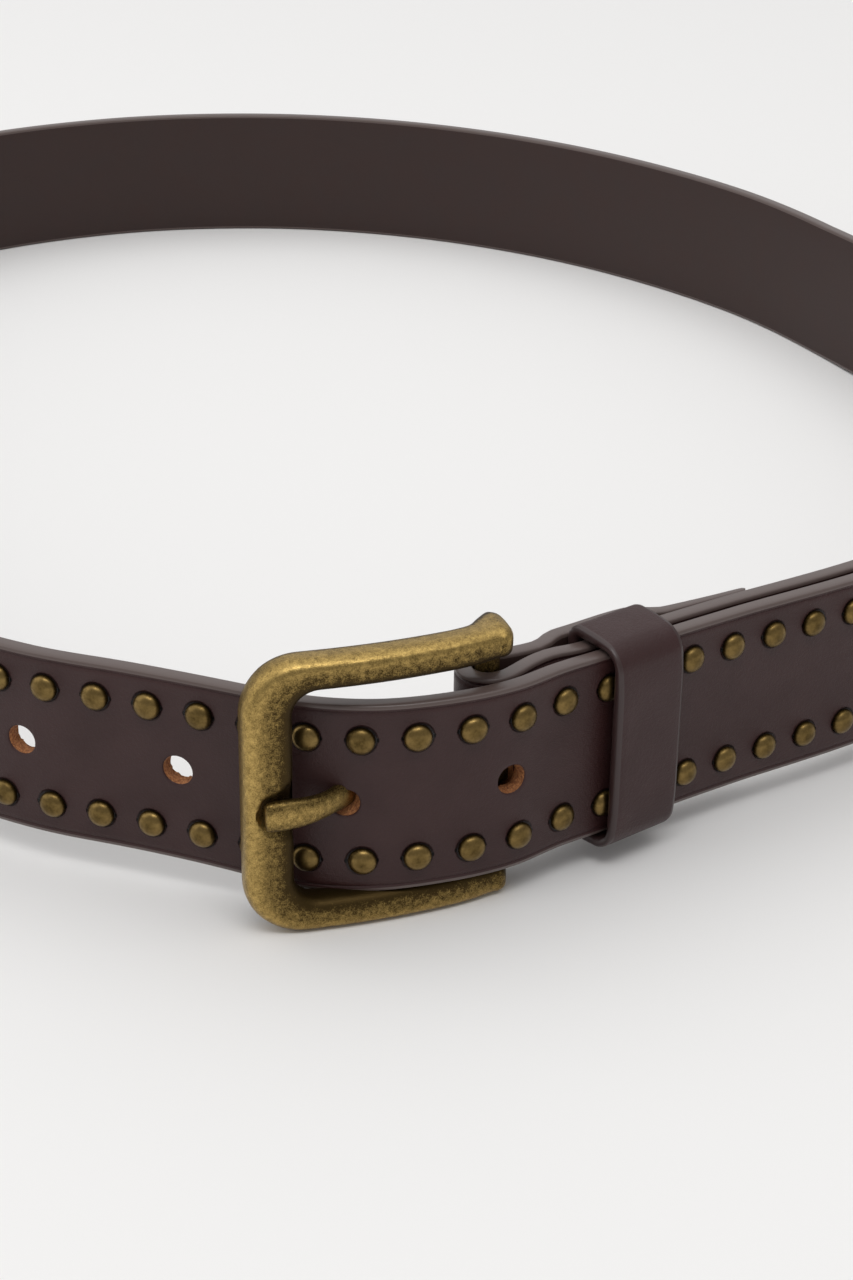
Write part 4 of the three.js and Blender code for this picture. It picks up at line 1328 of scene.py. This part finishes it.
PHOTO_HEIGHT = 1280
FOCAL_PIXELS = 2481
CAMERA_PLACE = (0.02795, -0.46185, 0.19756)
CAMERA_PITCH = 0.46877
CAMERA_YAW = 0.01235
CAMERA_ROLL = 0.01392


# Columns: name, place, where it points, size, power
LIGHTS = (
    ("top_softbox", (0, 0.15, 1.3), (0, 0.15, 0), (2.2, 2.0), 10.5),
    ("left_softbox", (-1.3, -0.1, 0.75), (0, -0.1, 0.05), (1.6, 1.1), 5),
    ("back_softbox", (0, 1.6, 0.9), (0, 0, 0.05), (2.2, 1.2), 3.5),
    ("front_softbox", (0.1, -0.75, 1.35), (0, -0.15, 0), (0.9, 0.35), 5),
)


def area_light(name, place, target, size, power):
    data = bpy.data.lights.new(name, "AREA")
    data.shape = "RECTANGLE"
    data.size, data.size_y = size
    data.energy = power
    light = bpy.data.objects.new(name, data)
    light.location = place
    light.rotation_euler = (Vector(target) - Vector(place)).to_track_quat("-Z", "Y").to_euler()
    bpy.context.scene.collection.objects.link(light)


class BELT_OT_stage(bpy.types.Operator):
    """Build the floor, the lights and the camera"""

    bl_idname = "belt.stage"
    bl_label = "Stage"

    def execute(self, context):
        colours = context.scene.belt_colours
        data = bpy.data.meshes.new("paper_floor")
        reach = 4
        data.from_pydata([(-reach, -reach, 0), (reach, -reach, 0), (reach, reach, 0), (-reach, reach, 0)],
                         [], [(0, 1, 2, 3)])
        data.materials.append(seamless_paper("seamless_paper", colours.floor))
        floor = bpy.data.objects.new("paper_floor", data)
        context.scene.collection.objects.link(floor)
        world = bpy.data.worlds.new("soft_room")
        world.use_nodes = True
        tree = world.node_tree
        tree.nodes.clear()
        glow = add_node(tree, "ShaderNodeBackground", {"Color": linear("#FFFFFF"), "Strength": 0.4})
        target = tree.nodes.new("ShaderNodeOutputWorld")
        tree.links.new(glow, target.inputs["Surface"])
        context.scene.world = world
        context.scene.view_settings.view_transform = "Standard"
        for light in LIGHTS:
            area_light(*light)
        camera_data = bpy.data.cameras.new("photo_camera")
        camera_data.sensor_fit = "VERTICAL"
        camera_data.sensor_height = 36
        camera_data.lens = FOCAL_PIXELS / PHOTO_HEIGHT * camera_data.sensor_height
        camera_data.clip_start = 0.01
        camera = bpy.data.objects.new("photo_camera", camera_data)
        camera.matrix_world = (
            Matrix.Translation(CAMERA_PLACE)
            @ Matrix.Rotation(CAMERA_YAW, 4, "Z")
            @ Matrix.Rotation(math.pi / 2 - CAMERA_PITCH, 4, "X")
            @ Matrix.Rotation(CAMERA_ROLL, 4, "Z"))
        context.scene.collection.objects.link(camera)
        context.scene.camera = camera
        return {"FINISHED"}


class BELT_PT_panel(bpy.types.Panel):
    """Lists the belt's pieces and sizes"""

    bl_idname = "BELT_PT_panel"
    bl_label = "Studded belt"
    bl_space_type = "VIEW_3D"
    bl_region_type = "UI"
    bl_category = "Belt"

    def draw(self, context):
        column = self.layout.column()
        for operator in operators:
            column.operator(operator.bl_idname)
        for group in (context.scene.belt_sizes, context.scene.belt_colours):
            for name in group.bl_rna.properties.keys():
                if name not in ("rna_type", "name"):
                    column.prop(group, name)


operators = (
    BELT_OT_strap,
    BELT_OT_buckle_frame,
    BELT_OT_prong,
    BELT_OT_keeper,
    BELT_OT_rivet,
    BELT_OT_stage,
)
classes = (BeltSizes, BeltColours, *operators, BELT_PT_panel)


def register():
    for item in classes:
        bpy.utils.register_class(item)
    bpy.types.Scene.belt_sizes = bpy.props.PointerProperty(type=BeltSizes)
    bpy.types.Scene.belt_colours = bpy.props.PointerProperty(type=BeltColours)


def unregister():
    del bpy.types.Scene.belt_sizes
    del bpy.types.Scene.belt_colours
    for item in reversed(classes):
        bpy.utils.unregister_class(item)


def main():
    register()
    bpy.ops.belt.strap()
    bpy.ops.belt.buckle_frame()
    bpy.ops.belt.prong()
    bpy.ops.belt.keeper()
    bpy.ops.belt.rivet()
    bpy.ops.belt.stage()


if __name__ == "__main__":
    main()
